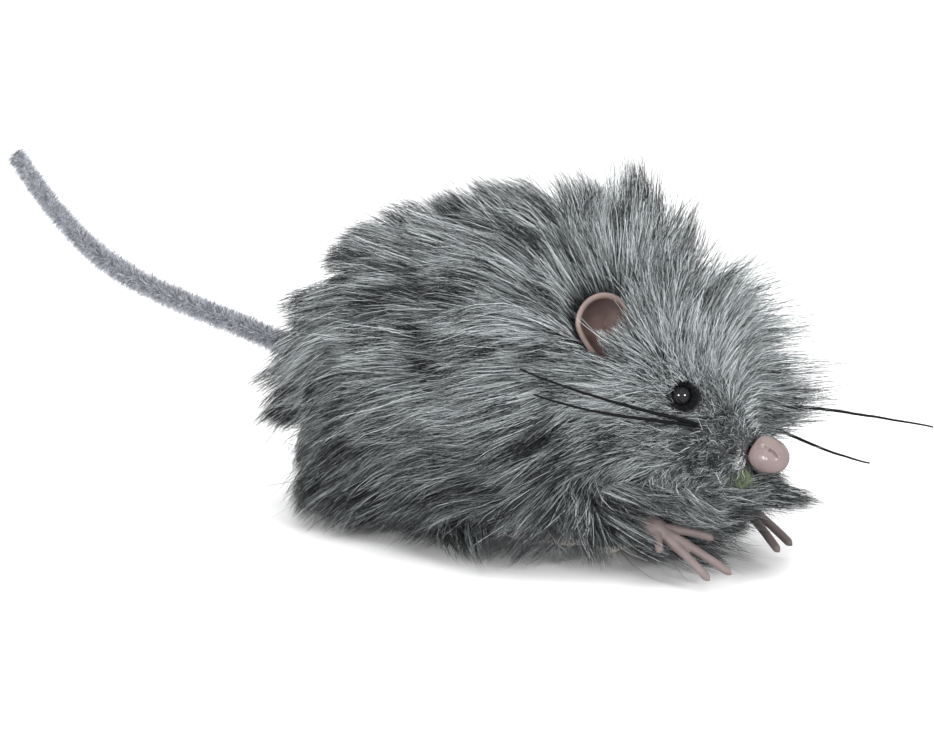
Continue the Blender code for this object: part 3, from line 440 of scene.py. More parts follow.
def turned(leans, normals, angles):
    """Leans turned along the skin by angles in radians."""
    return unit(leans * np.cos(angles)[:, None] + np.cross(normals, leans) * np.sin(angles)[:, None])


def tuft_share(points):
    """From 0 to 1, how much the pile belongs to its nearest tuft, and that tuft's number."""
    gap = np.linalg.norm(points[:, None] - TUFT_ROOTS[None], axis=-1)
    return np.exp(-((gap.min(1) / TUFT_R) ** 2) / 2), gap.argmin(1)


def chest_share(points):
    """From 0 to 1, how much the pile belongs to the part that hangs forward over the forepaws."""
    x, _, z = points.T
    return smoothstep(22, 38, x) * smoothstep(29, 20, z)


def left_cheek(points):
    """From 0 to 1, how much the pile belongs to the brushed-out left side of the face."""
    x, y, z = points.T
    return smoothstep(0, 8, y) * smoothstep(30, 42, x) * smoothstep(25, 34, z) * smoothstep(66, 58, x)


def swept(points):
    """From 0 to 1, how far the pile above the right hem is swept back, so that the hem shows."""
    x, y, z = points.T
    return 0.9 * smoothstep(-8, 4, x) * smoothstep(36, 26, x) * smoothstep(22, 13, z) * (y < 0)


def pile_length(points, normals):
    up = np.clip(normals[:, 2], 0, 1)
    x, y, z = points.T
    on_back, on_flank = look_up(PILE_LENGTH, x, 1), look_up(PILE_LENGTH, x, 2)
    right_cheek = smoothstep(30, 42, x) * smoothstep(50, 40, z) * (y < 0)
    length = (on_flank + (on_back - on_flank) * up) * (1 - 0.34 * right_cheek) * (1 - 0.35 * swept(points))
    length = mix(length, look_up(LEFT_CHEEK_PILE, x), left_cheek(points))
    length = mix(length, 19.0 - 6.5 * smoothstep(48, 58, x), chest_share(points))
    tuft, which = tuft_share(points)
    return mix(length, TUFT_LENGTHS[which], tuft)


def strand_paths(roots, normals, leans, lengths, tilt):
    """Points along strands that leave the skin steeply and bend over."""
    x, y, _ = roots.T
    up = np.clip(normals[:, 2], 0, 1)
    on_side = mix(0.66, np.where(y < 0, 0.42, 0.82), smoothstep(24, 42, x))
    share = on_side + (1 - on_side) * smoothstep(0.0, 0.75, up)
    chest, cheek = chest_share(roots), left_cheek(roots)
    tuft, which = tuft_share(roots)
    lifts = []
    for column, cheek_lift, chest_lift, tuft_bend in ((1, 78, 58, 8), (2, 52, 10, -8)):
        lift = look_up(PILE_LIFT, x, column) * share
        lift = mix(mix(lift, cheek_lift, cheek), chest_lift, chest)
        lifts.append(np.radians(mix(lift, TUFT_RISES[which] + tuft_bend, tuft) + tilt))
    first, last = lifts
    droop = (0.30 - 0.16 * smoothstep(20, 40, x)) * (1 - 0.5 * chest)
    path = [roots]
    for s0, s1 in zip(STEPS, STEPS[1:]):
        s = (s0 + s1) / 2
        lift = first + (last - first) * s
        way = normals * np.sin(lift)[:, None] + leans * np.cos(lift)[:, None]
        way[:, 2] -= droop * s * s
        path.append(path[-1] + unit(way) * (lengths * (s1 - s0))[:, None])
    return np.stack(path, 1)


def ball(centre, radius):
    return lambda p: np.linalg.norm(p - centre, axis=-1) < radius


def rod(start, way, radius):
    """A round-ended rod from start to start + way."""

    def inside(p):
        t = np.clip(((p - start) @ way) / (way @ way), 0, 1)
        return np.linalg.norm(p - start - t[..., None] * way, axis=-1) < radius

    return inside


def block(low, high):
    return lambda p: ((p > low) & (p < high)).all(-1)


# What stays clear of fibres, in mm
EYE_WAY = (0.50, 0.80, 0.30)
EYE_RODS = [(0.0, 14.0, 2.7), (3.5, 16.5, 3.9)]  # rods out of each eye that way: (start, length, radius)
EAR_BEHIND = (3.8, 6.2)  # a ball behind each ear: (how far, radius)
EAR_RODS = [  # rods out of each ear: (ahead of its middle, above it, length, rise, radius)
    (-1.6, 2.4, 16, 1, 4.3), (-4.8, -2.4, 14, 0, 2.2), (-3.6, -4.8, 14, 0, 1.8), (-2.0, -6.6, 14, 0, 1.4),
]
WHISKER_ROD = (0.05, 0.60, 1.3)  # a rod round each whisker: (from and to, as shares of its length, radius)
FINGER_ROD = (0.12, 1.6)  # rods round three fingers: (start, as a share of the finger, radius)
FINGER_OUT = np.array([0.55, 0.77, 0.32])  # and the same rods this way out from them, by each of
FINGER_SHIFTS = (0.0, 2.8, 5.6, 8.4, 11.2)
NOSE_BALLS = [(2.6, 4.7), (6.6, 5.0)]  # (ahead of the nose point, radius)
NOSE_RODS = [(4.8, -7.7, 2.6), (7.0, 5.0, 1.0)]  # ways of the rods that keep the nose in sight
NOSE_ROD_START, NOSE_ROD_R = np.array([3.6, 0, 0]), 4.0
KEY_SHAFT_R, KEY_ROOM, KEY_WING = 3.4, 1.0, 10.5  # round its shaft, past its wings, and the wings' depth
WHEEL_ROOM = 2.5
FLOOR_ROOM = 0.25
HEM_WINDOW = ((13.0, -28.0), (31.0, -8.0))  # where the right hem shows: its lowest and highest x and y
HEM_TOP = 6.6
HEM_VEIL = 4  # one strand in this many still falls over the hem there


def hem_window(p):
    (x0, y0), (x1, y1) = HEM_WINDOW
    x, y, z = p[..., 0], p[..., 1], p[..., 2]
    below = z < HEM_TOP + 1.5 * np.sin(x * 2.3) * np.sin(x * 0.7 + 1)
    return (x > x0) & (x < x1) & (y > y0) & (y < y1) & below & (np.arange(len(p)) % HEM_VEIL > 0)[:, None]


def key_opening():
    """Tests for the winding key's shaft and for the disc that its wings sweep."""
    low, high = box_mm("winding_key")
    shaft = centre_of("winding_arbor")
    foot = np.array([shaft[0], low[1], shaft[2]])
    span, wing_y = (high[0] - low[0]) / 2 + KEY_ROOM, high[1] - KEY_WING
    return [
        rod(foot, np.array([0, high[1] + 2 - low[1], 0]), KEY_SHAFT_R),
        lambda p: (np.hypot(p[..., 0] - shaft[0], p[..., 2] - shaft[2]) < span) & (p[..., 1] > wing_y),
    ]


def keep_outs():
    """Tests of points (n, k, 3) for the places where no fibre may be."""
    tests = [hem_window, lambda p: p[..., 2] < FLOOR_ROOM, *key_opening()]
    for side, sign in SIDES.items():
        eye, out = centre_of(f"{side}_eye"), mirrored(EYE_WAY, side)
        tests += [rod(eye + out * first, out * length, radius) for first, length, radius in EYE_RODS]
        rim, facing, up = ear_frame(side)
        tests.append(ball(rim - facing * EAR_BEHIND[0], EAR_BEHIND[1]))
        ahead = np.cross(up, facing) * (1 if np.cross(up, facing)[0] > 0 else -1)
        for forward, above, length, rise, radius in EAR_RODS:
            tests.append(rod(rim + ahead * forward + up * above, facing * length + up * rise, radius))
        for row in ROWS:
            start, tip = whisker_ends(f"{side}_whisker_{row}")
            first, last, radius = WHISKER_ROD
            tests.append(rod(start + (tip - start) * first, (tip - start) * (last - first), radius))
        for tip, shift in itertools.product(FINGER_TIPS[:3], FINGER_SHIFTS):
            palm, end = paw_point(side, PALM), paw_point(side, tip)
            start = palm + (end - palm) * FINGER_ROD[0]
            tests.append(rod(start + FINGER_OUT * (1, sign, 1) * shift, end - start, FINGER_ROD[1]))
        low, high = box_mm(f"{side}_drive_wheel")
        tests.append(block(low - WHEEL_ROOM, high + WHEEL_ROOM))
    tests += [ball(NOSE_POINT + np.array([ahead, 0, 0]), radius) for ahead, radius in NOSE_BALLS]
    tests += [rod(NOSE_POINT + NOSE_ROD_START, np.array(way), NOSE_ROD_R) for way in NOSE_RODS]
    return tests


def ear_frame(side):
    """(middle of the rim, direction that it faces, its own up) of an ear, in mm."""
    facing = mirrored(EAR_FACING, side)
    points = node_points(f"{side}_ear")
    height = points @ facing
    rim = points[height > height.max() - 1.0]
    return (rim.min(0) + rim.max(0)) / 2, facing, unit(np.array([0.0, 0.0, 1.0]) - facing * facing[2])


def trim(paths):
    """Strands cut short where they would enter a keep-out, and the share that is left of each."""
    left = np.ones(len(paths))
    for test in keep_outs():
        hit = test(paths)
        first = np.where(hit.any(1), hit.argmax(1), len(STEPS))
        share = np.where(first < len(STEPS), STEPS[np.clip(first - 1, 0, len(STEPS) - 1)], 1.0)
        left = np.minimum(left, share)
    for i in np.flatnonzero(left < 1):
        paths[i] = np.stack([np.interp(left[i] * STEPS, STEPS, paths[i, :, axis]) for axis in range(3)], 1)
    return paths, left


def wisp_darkness(points, rng):
    """From 0 to 1, how black each wisp's tip is: in streaks that follow the pile, fewer on the face."""
    x, y, z = points.T
    round_body = np.arctan2(z - 28, np.abs(y)) * 30
    fallen = np.where(x < -20, -0.012 * (x + 20) ** 2, 0.0) + 0.22 * x
    line = round_body - fallen
    streak = 0.5 + 0.5 * np.sin(line * 0.95 + 1.6 * np.sin(x * 0.07 + y * 0.05) + 0.7 * np.sin(x * 0.19 + 2))
    broken = 0.5 + 0.5 * np.sin(x * 0.15 + line * 0.29 + 1.1)
    value = 1.35 * streak**3 * (0.3 + 0.7 * broken) + 0.80 * rng.random(len(x)) - 0.34
    face = smoothstep(36, 48, x)
    crown = smoothstep(24, 30, x) * smoothstep(46, 40, x) * smoothstep(50, 58, z)
    tuft, _ = tuft_share(points)
    return np.clip(value * (1 - 0.6 * face) + 0.05 * crown + 0.35 * tuft, 0, 1)


def strand_shades(roots, dark, under, tall, rng):
    """Material number of each stretch of each strand, from root to tip."""
    count = len(roots)
    x, _, z = roots.T
    face = smoothstep(24, 42, x) * smoothstep(34, 47, z)
    muzzle = smoothstep(50, 58, x) * smoothstep(46, 38, z)
    painted_light_behind_ear = smoothstep(8, 18, x) * smoothstep(38, 28, x) * smoothstep(46, 54, z)
    crown = smoothstep(24, 32, x) * smoothstep(48, 56, z)
    chest = smoothstep(44, 54, x) * smoothstep(29, 22, z)
    rump, painted_shade_below = smoothstep(-28, -48, x), smoothstep(44, 14, z)
    # Painted light: the pile over the chest, in the head's shadow, and the pile behind the ears, in their
    # shadow, are painted lighter
    level = 0.665 + 0.22 * face - 0.04 * muzzle + 0.14 * painted_light_behind_ear + 0.02 * crown + 0.14 * chest
    level += rng.normal(0, 1, count) * (0.23 + 0.06 * muzzle)
    # Painted shade: the pile is painted darker towards the bottom of the body, for the shade underneath it
    level += 0.14 * rump + 0.06 * np.sin(x * 0.23 + z * 0.31) - 0.14 * dark - 0.24 * painted_shade_below
    level = np.where(rng.random(count) < 0.18 + 0.16 * muzzle, level - 0.45, level)
    black_tip = (rng.random(count) < 0.22 + 0.72 * smoothstep(0.1, 0.55, dark) + 0.65 * tall) & ~under
    start = np.where(black_tip, rng.uniform(0.50, 0.86, count) - 0.26 * dark, 2.0)
    middles = (STEPS[:-1] + STEPS[1:]) / 2
    # Painted shade: each strand is painted darker towards its root, for the shade deep in the pile
    shade = level[:, None] * (0.70 + 0.30 * smoothstep(0.0, 0.5, middles))[None]
    blend = smoothstep(-0.02, 0.16, middles[None] - start[:, None])
    shade = mix(shade, 0.02, blend) + rng.normal(0, 0.05, shade.shape)
    return np.clip(np.round(shade * (FUR_GREYS - 1)), 0, FUR_GREYS - 1)


def fur_regions(points, normals):
    """(name, mask) of the coat's panels."""
    x, y, z = points.T
    head, rump = x > 30, x < -42
    back = (normals[:, 2] > 0.55) & ~head & ~rump
    flank = ~head & ~rump & ~back
    return [
        ("face_right", head & (y < 0)), ("face_left", head & (y >= 0)), ("rump", rump),
        ("back", back), ("right_flank", flank & (y < 0)), ("left_flank", flank & (y >= 0)),
    ]


def ragged_share(points):
    """From 0 to 1, how much the pile hangs in uneven tufts: on the rump and along the hem."""
    return np.maximum(smoothstep(-34, -48, points[:, 0]), smoothstep(20, 11, points[:, 2]))


def fur_roots(skin, rng):
    """Where strands grow: all over the skin, twice as close on the muzzle, and clear of the eyes and nose."""
    roots, _ = skin.spread(STRANDS, rng)
    more, _ = skin.spread(STRANDS, rng)
    roots = np.vstack([roots, more[(more[:, 0] > 51) & (more[:, 2] > 18)]])
    eyes = np.stack([centre_of(f"{side}_eye") for side in SIDES])
    near_eye = np.linalg.norm(roots[:, None] - eyes[None], axis=-1).min(1)
    near_nose = np.linalg.norm(roots - (NOSE_POINT - np.array([3.0, 0, 0])), axis=1)
    kept = (near_eye > BARE_ROUND_EYE) & (near_nose > BARE_ROUND_NOSE)
    return roots[kept], near_eye[kept]


def guide_strands(points, normals, turns, tilts):
    """The middle strand of each lock or wisp."""
    leans = turned(comb(points, normals), normals, turns)
    return strand_paths(points, normals, leans, pile_length(points, normals), tilts)


def make_fur(skin):
    """Strands in wisps, and wisps in locks; undercoat and stray strands keep more to themselves."""
    rng = np.random.default_rng(SEED + 1)
    roots, near_eye = fur_roots(skin, rng)
    normals = skin.normals_at(roots)
    count = len(roots)
    lengths = pile_length(roots, normals) * (0.28 + 0.72 * smoothstep(3.0, 12.0, near_eye))

    # Locks and wisps: where they are, how they turn, tilt and differ in length, and how dark they are
    lock_at = spread_centres(roots, LOCK_SPACING, rng)
    lock_at = lock_at[tuft_share(lock_at)[0] < 0.2]
    own_locks = [roots[np.linalg.norm(roots - root, axis=1).argmin()] for root in TUFT_ROOTS]
    lock_at = np.vstack([lock_at, own_locks])
    wisp_at = spread_centres(roots, WISP_SPACING, rng)
    lock, wisp = nearest(roots, lock_at), nearest(roots, wisp_at)
    wisp_lock = nearest(wisp_at, lock_at)
    plain = 1 - tuft_share(lock_at)[0]
    ragged = ragged_share(lock_at)
    lock_tilt = np.clip(rng.normal(0, 1, len(lock_at)), -1.6, 1.6) * (7.5 + 6 * ragged) * plain
    lock_turn = rng.normal(0, 0.17, len(lock_at)) * plain
    lock_long = 1.0 + rng.normal(0, 1, len(lock_at)) * (0.15 + 0.11 * ragged) * plain
    dark = wisp_darkness(wisp_at, rng)
    wisp_turn = rng.normal(0, 0.12, len(wisp_at))

    # Each strand's own length and way
    x, _, z = roots.T
    under = rng.random(count) < UNDERCOAT_SHARE
    stray = (rng.random(count) < STRAY_SHARE) & ~under
    loose = smoothstep(24, 44, x) * smoothstep(20, 34, z)
    brushed = left_cheek(roots)
    fine = np.maximum(loose, smoothstep(20, 30, x) * smoothstep(48, 56, z))
    uneven = 0.82 + 0.26 * rng.random(count)
    sparse = 0.60 + 0.58 * rng.random(count) ** (2.8 + 2.0 * brushed)
    scale = lock_long[lock] * mix(uneven, sparse, fine)
    scale = np.where(under, scale * 0.6, np.where(stray, scale * 1.12, scale))
    lengths = lengths * scale
    messy = 0.16 + 0.14 * loose + 0.25 * smoothstep(50, 60, x)
    turns = lock_turn[lock] + wisp_turn[wisp] + rng.normal(0, 1, count) * messy
    leans = turned(comb(roots, normals), normals, turns)
    paths = strand_paths(roots, normals, leans, lengths, lock_tilt[lock] + rng.normal(0, 7, count))

    # Strands are pulled towards the middle of their wisp, and then of their lock
    lock_paths = guide_strands(lock_at, skin.normals_at(lock_at), lock_turn, lock_tilt)
    wisp_turn = lock_turn[wisp_lock] + wisp_turn
    wisp_paths = guide_strands(wisp_at, skin.normals_at(wisp_at), wisp_turn, lock_tilt[wisp_lock])
    pull_wisp = rng.uniform(0.35, 0.95, count) * (1 - 0.45 * loose * (1 - brushed))
    pull_wisp = np.where(stray, 0.15, pull_wisp)
    pull_lock = rng.uniform(0.2, 0.7, count) * (1 - 0.6 * loose) * (1 + 0.4 * ragged_share(roots))
    pull_lock = np.where(stray, 0.05, pull_lock)
    pull_lock = np.maximum(pull_lock, 0.85 * tuft_share(roots)[0] * ~stray)
    groups = ((wisp, wisp_paths, pull_wisp, 1.1), (lock, lock_paths, pull_lock, 1.7))
    for group, guides, pull, power in groups:
        guide_roots = guides[:, :1]
        reach = (guides - guide_roots)[group] * np.minimum(scale, 1.15)[:, None, None]
        share = (pull[:, None] * STEPS[None] ** power)[..., None]
        paths = mix(paths, guide_roots[group] + reach, share)

    # Waves, loose tips, and none higher than the limit
    wave = rng.uniform(0, 2 * math.pi, len(lock_at))[lock][:, None] + STEPS[None] * 6.0
    size = 0.55 * STEPS[None] * lengths[:, None] / 20
    paths = paths + np.cross(normals, leans)[:, None] * (np.sin(wave) * size)[..., None]
    spread = np.where(stray, 2.2, 0.8 + 0.4 * loose)[:, None] * STEPS[None] ** 1.5
    paths = paths + rng.normal(0, 1, (count, 3))[:, None] * spread[..., None]
    high = paths[..., 2] - (TOP_LIMIT - TOP_EASE)
    held = TOP_LIMIT - TOP_EASE + TOP_EASE * np.tanh(high / TOP_EASE)
    paths[..., 2] = np.where(high > 0, held, paths[..., 2])

    # Cut clear of the face, key and wheels, shaded, and split into panels
    paths, left = trim(paths)
    kept = (left > 0.2) & (np.linalg.norm(paths[:, -1] - paths[:, 0], axis=1) > 1.0)
    shades = strand_shades(roots, dark[wisp], under, fine * (scale > 0.86), rng)
    radii = STRAND_R * rng.uniform(0.8, 1.2, count)
    spin = rng.uniform(0, 2 * math.pi, count)
    materials = fibre_greys("fur", FUR_DARK, FUR_LIGHT, FUR_GREYS)
    made = []
    for label, mask in fur_regions(roots, normals):
        chosen = np.flatnonzero(mask & kept)
        for i, first in enumerate(range(0, len(chosen), PANEL_STRANDS), 1):
            pick, name = chosen[first : first + PANEL_STRANDS], f"fur_{label}_{i}"
            panel = fibre_mesh(name, paths[pick], radii[pick], shades[pick], materials, spin[pick])
            made.append(finish_piece(panel))
    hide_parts("fur_coat")
    return made


# -------- pelt backing
PELT_LIFT = 0.45
PELT_THICK = 0.5
RIM_BELOW = 9.6  # open edges lower than this are the shell's rim
HEM_DROP = 4.6


def make_pelt(skin):
    """The knitted backing that the pile grows from, with its hem turned down below the shell's rim."""
    bm = bmesh.new()
    seen = {}
    for tri in skin.corners:
        keys = [tuple(np.round(p, 2)) for p in tri]
        for key in keys:
            if key not in seen:
                seen[key] = bm.verts.new(Vector(key))
        verts = [seen[key] for key in keys]
        if len(set(verts)) == 3 and bm.faces.get(verts) is None:
            bm.faces.new(verts)
    bmesh.ops.recalc_face_normals(bm, faces=bm.faces)
    bm.verts.ensure_lookup_table()
    normals = skin.normals_at(np.array([v.co for v in bm.verts]))
    for v, n in zip(bm.verts, normals):
        v.co += Vector(n) * PELT_LIFT
    rim = [e for e in bm.edges if e.is_boundary and max(v.co.z for v in e.verts) < RIM_BELOW]
    hem = bmesh.ops.extrude_edge_only(bm, edges=rim)["geom"]
    for f in (g for g in hem if isinstance(g, bmesh.types.BMFace)):
        f.material_index = 1
    for v in (g for g in hem if isinstance(g, bmesh.types.BMVert)):
        v.co.z -= HEM_DROP * (0.8 + 0.2 * math.sin(v.co.x * 1.7) * math.sin(v.co.x * 0.9 + 2))
    area = sum(f.calc_area() for f in bm.faces) / 1e6
    for v in bm.verts:
        v.co = at(*v.co)
    obj = object_from(bm, "pelt_backing")
    # The backing under the pile is painted near-black, as painted shade deep in the pile; the hem's knit
    # shows the backing's own pinkish colour
    for name, first, second, scale in (
        ("pelt_ground_painted_shade", (0.035, 0.037, 0.039), (0.075, 0.079, 0.082), 500.0),
        ("pelt_knit", (0.46, 0.39, 0.37), (0.66, 0.59, 0.56), 700.0),
    ):
        material, _ = surface(name, first, second, (0.8, 0.95), scale, 2500.0, 0.0004)
        obj.data.materials.append(material)
    wall = obj.modifiers.new("Thickness", "SOLIDIFY")
    wall.thickness = PELT_THICK / 1000
    wall.offset = 0
    return finish_piece(obj), area


# -------- ears, eyes, nose, paws and whiskers
def turns_of(count):
    """Angles of equal steps round a full turn, as a column."""
    return 2 * math.pi * np.arange(count)[:, None] / count


def ring(centre, across, up, radius, count):
    """Points round a centre. radius is a number, or a column of one for each point."""
    return centre + (across * np.cos(turns_of(count)) + up * np.sin(turns_of(count))) * radius


def add_loft(bm, rings, tip=None):
    """Adds a closed skin over rings of points in mm to a bmesh. It ends flat, or in a tip."""
    rows = [[bm.verts.new(at(*p)) for p in points] for points in rings]
    for low, high in zip(rows, rows[1:]):
        for corners in zip(low, low[1:] + low[:1], high[1:] + high[:1], high):
            bm.faces.new(corners)
    bm.faces.new(rows[0][::-1])
    last = rows[-1]
    if tip is None:
        bm.faces.new(last)
    else:
        point = bm.verts.new(at(*tip))
        for a, b in zip(last, last[1:] + last[:1]):
            bm.faces.new((a, b, point))


def loft(name, rings):
    bm = bmesh.new()
    add_loft(bm, rings)
    bmesh.ops.recalc_face_normals(bm, faces=bm.faces)
    return object_from(bm, name)


def across_and_up(way):
    """Unit directions level across a way, and square to both."""
    across = unit(np.cross(way, (0, 0, 1)))
    return across, np.cross(across, unit(way))


def one_shade_each(rng, greys, count):
    """A random material number for each fibre, the same all along it."""
    return np.repeat(rng.integers(0, greys, count)[:, None], len(RINGS), 1)


def subdivide(obj, levels):
    smooth = obj.modifiers.new("Smooth", "SUBSURF")
    smooth.levels = smooth.render_levels = levels


# Ear cup, from the middle of its back round the rim to its hollow's middle: (share of the radius, height)
EAR_PROFILE = [
    (0.05, -3.3), (0.35, -3.25), (0.68, -2.8), (0.90, -1.8), (1.0, -0.5), (1.03, 0.2), (1.01, 0.6),
    (0.95, 0.78), (0.88, 0.68), (0.83, 0.3), (0.79, -0.5), (0.66, -1.6), (0.40, -2.35), (0.05, -2.6),
]
EAR_SIZE = (6.5, 7.1)  # half width and half height
EAR_DROP = 0.7  # how far below the CAD cup's middle its own middle is
EAR_RIM_RINGS = 9  # rings of the profile that are the outside and the rim
EAR_TURNS = 28


def make_ears():
    outside = vinyl("ear_rim", (0.165, 0.122, 0.110), (0.235, 0.178, 0.160), (0.42, 0.58))
    # The hollow is the rim's vinyl painted darker: painted shade inside the cup
    hollow = vinyl("ear_hollow_painted_shade", (0.066, 0.040, 0.036), (0.105, 0.064, 0.056), (0.5, 0.65))
    turns = turns_of(EAR_TURNS)
    low = smoothstep(0.0, -1.0, np.sin(turns))
    for side in SIDES:
        rim, facing, up = ear_frame(side)
        across = np.cross(up, facing)
        rings = []
        for share, height in EAR_PROFILE:
            w = EAR_SIZE[0] * share * np.cos(turns) * (1 - 0.30 * low)
            h = EAR_SIZE[1] * share * np.sin(turns) * (1 + 0.24 * low) - EAR_DROP
            lift = height - 0.9 * low * share + 0.18 * np.sin(3 * turns + 1) * share
            rings.append(rim + across * w + up * h + facing * lift)
        ear = loft(f"{side}_ear_cup", rings)
        for material in (outside, hollow):
            ear.data.materials.append(material)
        for face in ear.data.polygons:
            face.material_index = int(face.index // EAR_TURNS >= EAR_RIM_RINGS)
        subdivide(ear, 2)
        finish_piece(ear, replaced=[f"{side}_ear"])


EYE_FACING = (0.50, 0.80, 0.33)
BEAD_R = 2.45
BEAD_BACK = 1.9  # how far the beads sit behind the CAD's
BEAD_POLARS = [2, 15, 30, 45, 60, 75, 90, 105, 120]  # angles of its rings, from the front
LASHES = 1300
LASH_R = 0.048


def make_eyes():
    """Glossy beads, each in a ring of short dark lashes; the ring is partly real lashes and partly painted
    shade of the hollow in the pile round the bead.
    """
    material, shader = principled("eye_bead", (0.004, 0.004, 0.005), 0.05, Specular_IOR_Level=0.75)
    vary_roughness(material, shader, 500.0, 0.03, 0.07)
    greys = fibre_greys("lash", (0.004, 0.004, 0.005), (0.05, 0.052, 0.055), 4)
    rng = np.random.default_rng(SEED + 2)
    for side in SIDES:
        out = mirrored(EYE_FACING, side)
        points = node_points(f"{side}_eye")
        front = points[points @ out > (points @ out).max() - 0.5].mean(0)
        middle = front - out * BEAD_R * 1.02 - np.array([BEAD_BACK, 0, 0])
        ahead = unit(np.array([1.0, 0, 0]) - out * out[0])
        up = np.cross(out, ahead)
        bead = loft(f"{side}_eye_bead", [
            ring(middle + out * math.cos(polar) * BEAD_R, ahead, up, math.sin(polar) * BEAD_R, 24)
            for polar in np.radians(BEAD_POLARS)
        ])
        bead.data.materials.append(material)
        subdivide(bead, 1)
        finish_piece(bead, replaced=[f"{side}_eye"])

        # Lashes: dark fibres round the bead, partly painted shade of its hollow in the pile
        angle = rng.uniform(0, 2 * math.pi, LASHES)
        radius = rng.uniform(2.1, 3.2, LASHES)
        radial = ahead * np.cos(angle)[:, None] + up * np.sin(angle)[:, None] * 0.86
        roots = middle + radial * radius[:, None] + out * (0.9 - 0.25 * radius)[:, None]
        lengths = rng.uniform(0.8, 1.8, LASHES)
        ways = unit(radial * 0.75 + out * 0.75 + rng.normal(0, 0.3, (LASHES, 3)))
        curls = unit(radial + rng.normal(0, 0.3, (LASHES, 3)))
        shades = one_shade_each(rng, 3, LASHES)
        paths = curled(roots, ways, lengths, curls, 0.35)
        lashes = fibre_mesh(f"{side}_eye_lashes", paths, np.full(LASHES, LASH_R), shades, greys, angle)
        finish_piece(lashes)


# Nose, from the back of the seat to the tip: (share of the length, share of the radius)
NOSE_PROFILE = [
    (0.0, 0.72), (0.06, 0.86), (0.16, 0.96), (0.30, 1.0), (0.45, 0.99), (0.58, 0.95), (0.70, 0.87),
    (0.80, 0.76), (0.88, 0.62), (0.94, 0.46), (0.98, 0.28), (1.0, 0.06),
]
# Lines of the nose's relief on each side, as (right, up) in mm from its middle, seen from its front right:
# (line, height, half width). Heights below 0 are creases.
NOSE_LINES = [
    ([(-0.45, 1.05), (0.2, 0.65), (0.8, 0.1), (1.35, -0.55)], -0.70, 0.24),
    ([(-0.85, 1.6), (-0.2, 1.5), (0.7, 0.9), (1.4, 0.1), (1.8, -0.7)], 0.42, 0.34),
    ([(-3.4, 1.5), (-2.5, 1.6), (-1.3, 1.55), (-0.5, 0.9)], -0.30, 0.34),
    ([(-2.3, 2.2), (-1.8, 2.3), (-1.3, 2.1)], 0.22, 0.40),
]
NOSE_SEEN_FROM = (0.581, 0.771, 0.259)
NOSE_TURNS = 120
NOSE_RINGS = 70
NOSE_SHORTER = 1.4  # how far its tip stays behind the CAD's


def nose_relief(points, middle, side):
    """Height of the relief on one side of the nose at each point, in mm."""
    toward = mirrored(NOSE_SEEN_FROM, side)
    right = unit(np.cross((0, 0, 1), toward)) * -SIDES[side]
    up = np.cross(toward, right) * -SIDES[side]
    offset = points - middle
    u, v, w = offset @ right, offset @ up, offset @ toward
    height = np.zeros_like(u)
    for path, rise, width in NOSE_LINES:
        path, shares = np.array(path), np.linspace(0, 1, 30)
        line = np.stack([np.interp(shares, np.linspace(0, 1, len(path)), path[:, k]) for k in (0, 1)], 1)
        gap = ((u[..., None] - line[:, 0]) ** 2 + (v[..., None] - line[:, 1]) ** 2).min(-1)
        height += rise * np.exp(-gap / width**2)
    own_side = smoothstep(-0.4, 0.4, points[..., 1] * SIDES[side])
    return height * smoothstep(0.0, 1.5, w) * own_side


def make_nose():
    """A vinyl button, narrow at the top and full below, with a nostril slit in a raised lip on each side."""
    low, high = box_mm("nose")
    radius = (high[1] - low[1]) / 2 * 0.97
    back, tip, mid_z = NOSE_POINT[0] - 2.6, high[0] - NOSE_SHORTER, (low[2] + high[2]) / 2
    turns = np.linspace(0, 2 * math.pi, NOSE_TURNS, endpoint=False)
    rings = []
    for t in np.linspace(0, 1, NOSE_RINGS):
        r = look_up(NOSE_PROFILE, t) * radius
        z = mid_z + r * 0.97 * np.sin(turns) - 0.35 * t
        rings.append(np.column_stack([np.full(len(turns), back + (tip - back) * t), r * np.cos(turns), z]))
    points = np.array(rings)
    middle = np.array([back + (tip - back) * 0.5, 0.0, mid_z])
    height = points[..., 2] - mid_z
    narrow = 1 - 0.30 * smoothstep(-1.0, radius, height)
    points[..., 0] = middle[0] + (points[..., 0] - middle[0]) * narrow - 0.10 * height
    points[..., 1] *= narrow
    relief = nose_relief(points, middle, "right") + nose_relief(points, middle, "left")
    points = points + unit(points - middle) * relief[..., None]
    nose = loft("nose_button", list(points))
    skin = vinyl("nose_vinyl", (0.188, 0.146, 0.142), (0.208, 0.163, 0.158), (0.17, 0.25))
    nose.data.materials.append(skin)
    subdivide(nose, 1)
    finish_piece(nose, replaced=["nose"])


WOOL_R = 0.055


def make_muzzle_wool():
    """Frizzy whitish fibres beside the nose, and a few tinted ones on the chin."""
    rng = np.random.default_rng(SEED + 5)
    white = fibre_greys("wool_white", (0.16, 0.165, 0.165), (0.80, 0.82, 0.82), 4)
    green = fibre_greys("wool_green", (0.10, 0.13, 0.07), (0.28, 0.34, 0.20), 4)
    tufts = [
        ("muzzle_wool", white, (65.4, -4.6, 28.0), (1.1, 0.9, 2.6), 80, (0.05, -0.8, -0.1), 2.6),
        ("chin_wool", green, (65.6, -3.4, 25.0), (0.9, 0.9, 1.3), 90, (0.25, -0.45, -0.8), 3.8),
    ]
    for name, greys, middle, spread, count, way, length in tufts:
        roots = np.array(middle) + rng.normal(0, 0.6, (count, 3)) * np.array(spread)
        ways = unit(np.array(way) + rng.normal(0, 0.35, (count, 3)))
        lengths = rng.uniform(0.6, 1.2, count) * length
        curl = unit(np.cross(ways, rng.normal(0, 1, (count, 3))))
        t = STEPS[None, :, None] * lengths[:, None, None]
        wave = np.sin(STEPS[None] * 7 + rng.uniform(0, 6, count)[:, None])[..., None] * 0.55
        paths = roots[:, None] + ways[:, None] * t + curl[:, None] * wave * STEPS[None, :, None]
        shades = one_shade_each(rng, 4, count)
        wool = fibre_mesh(name, paths, np.full(count, WOOL_R), shades, greys, rng.uniform(0, 6, count))
        finish_piece(wool)


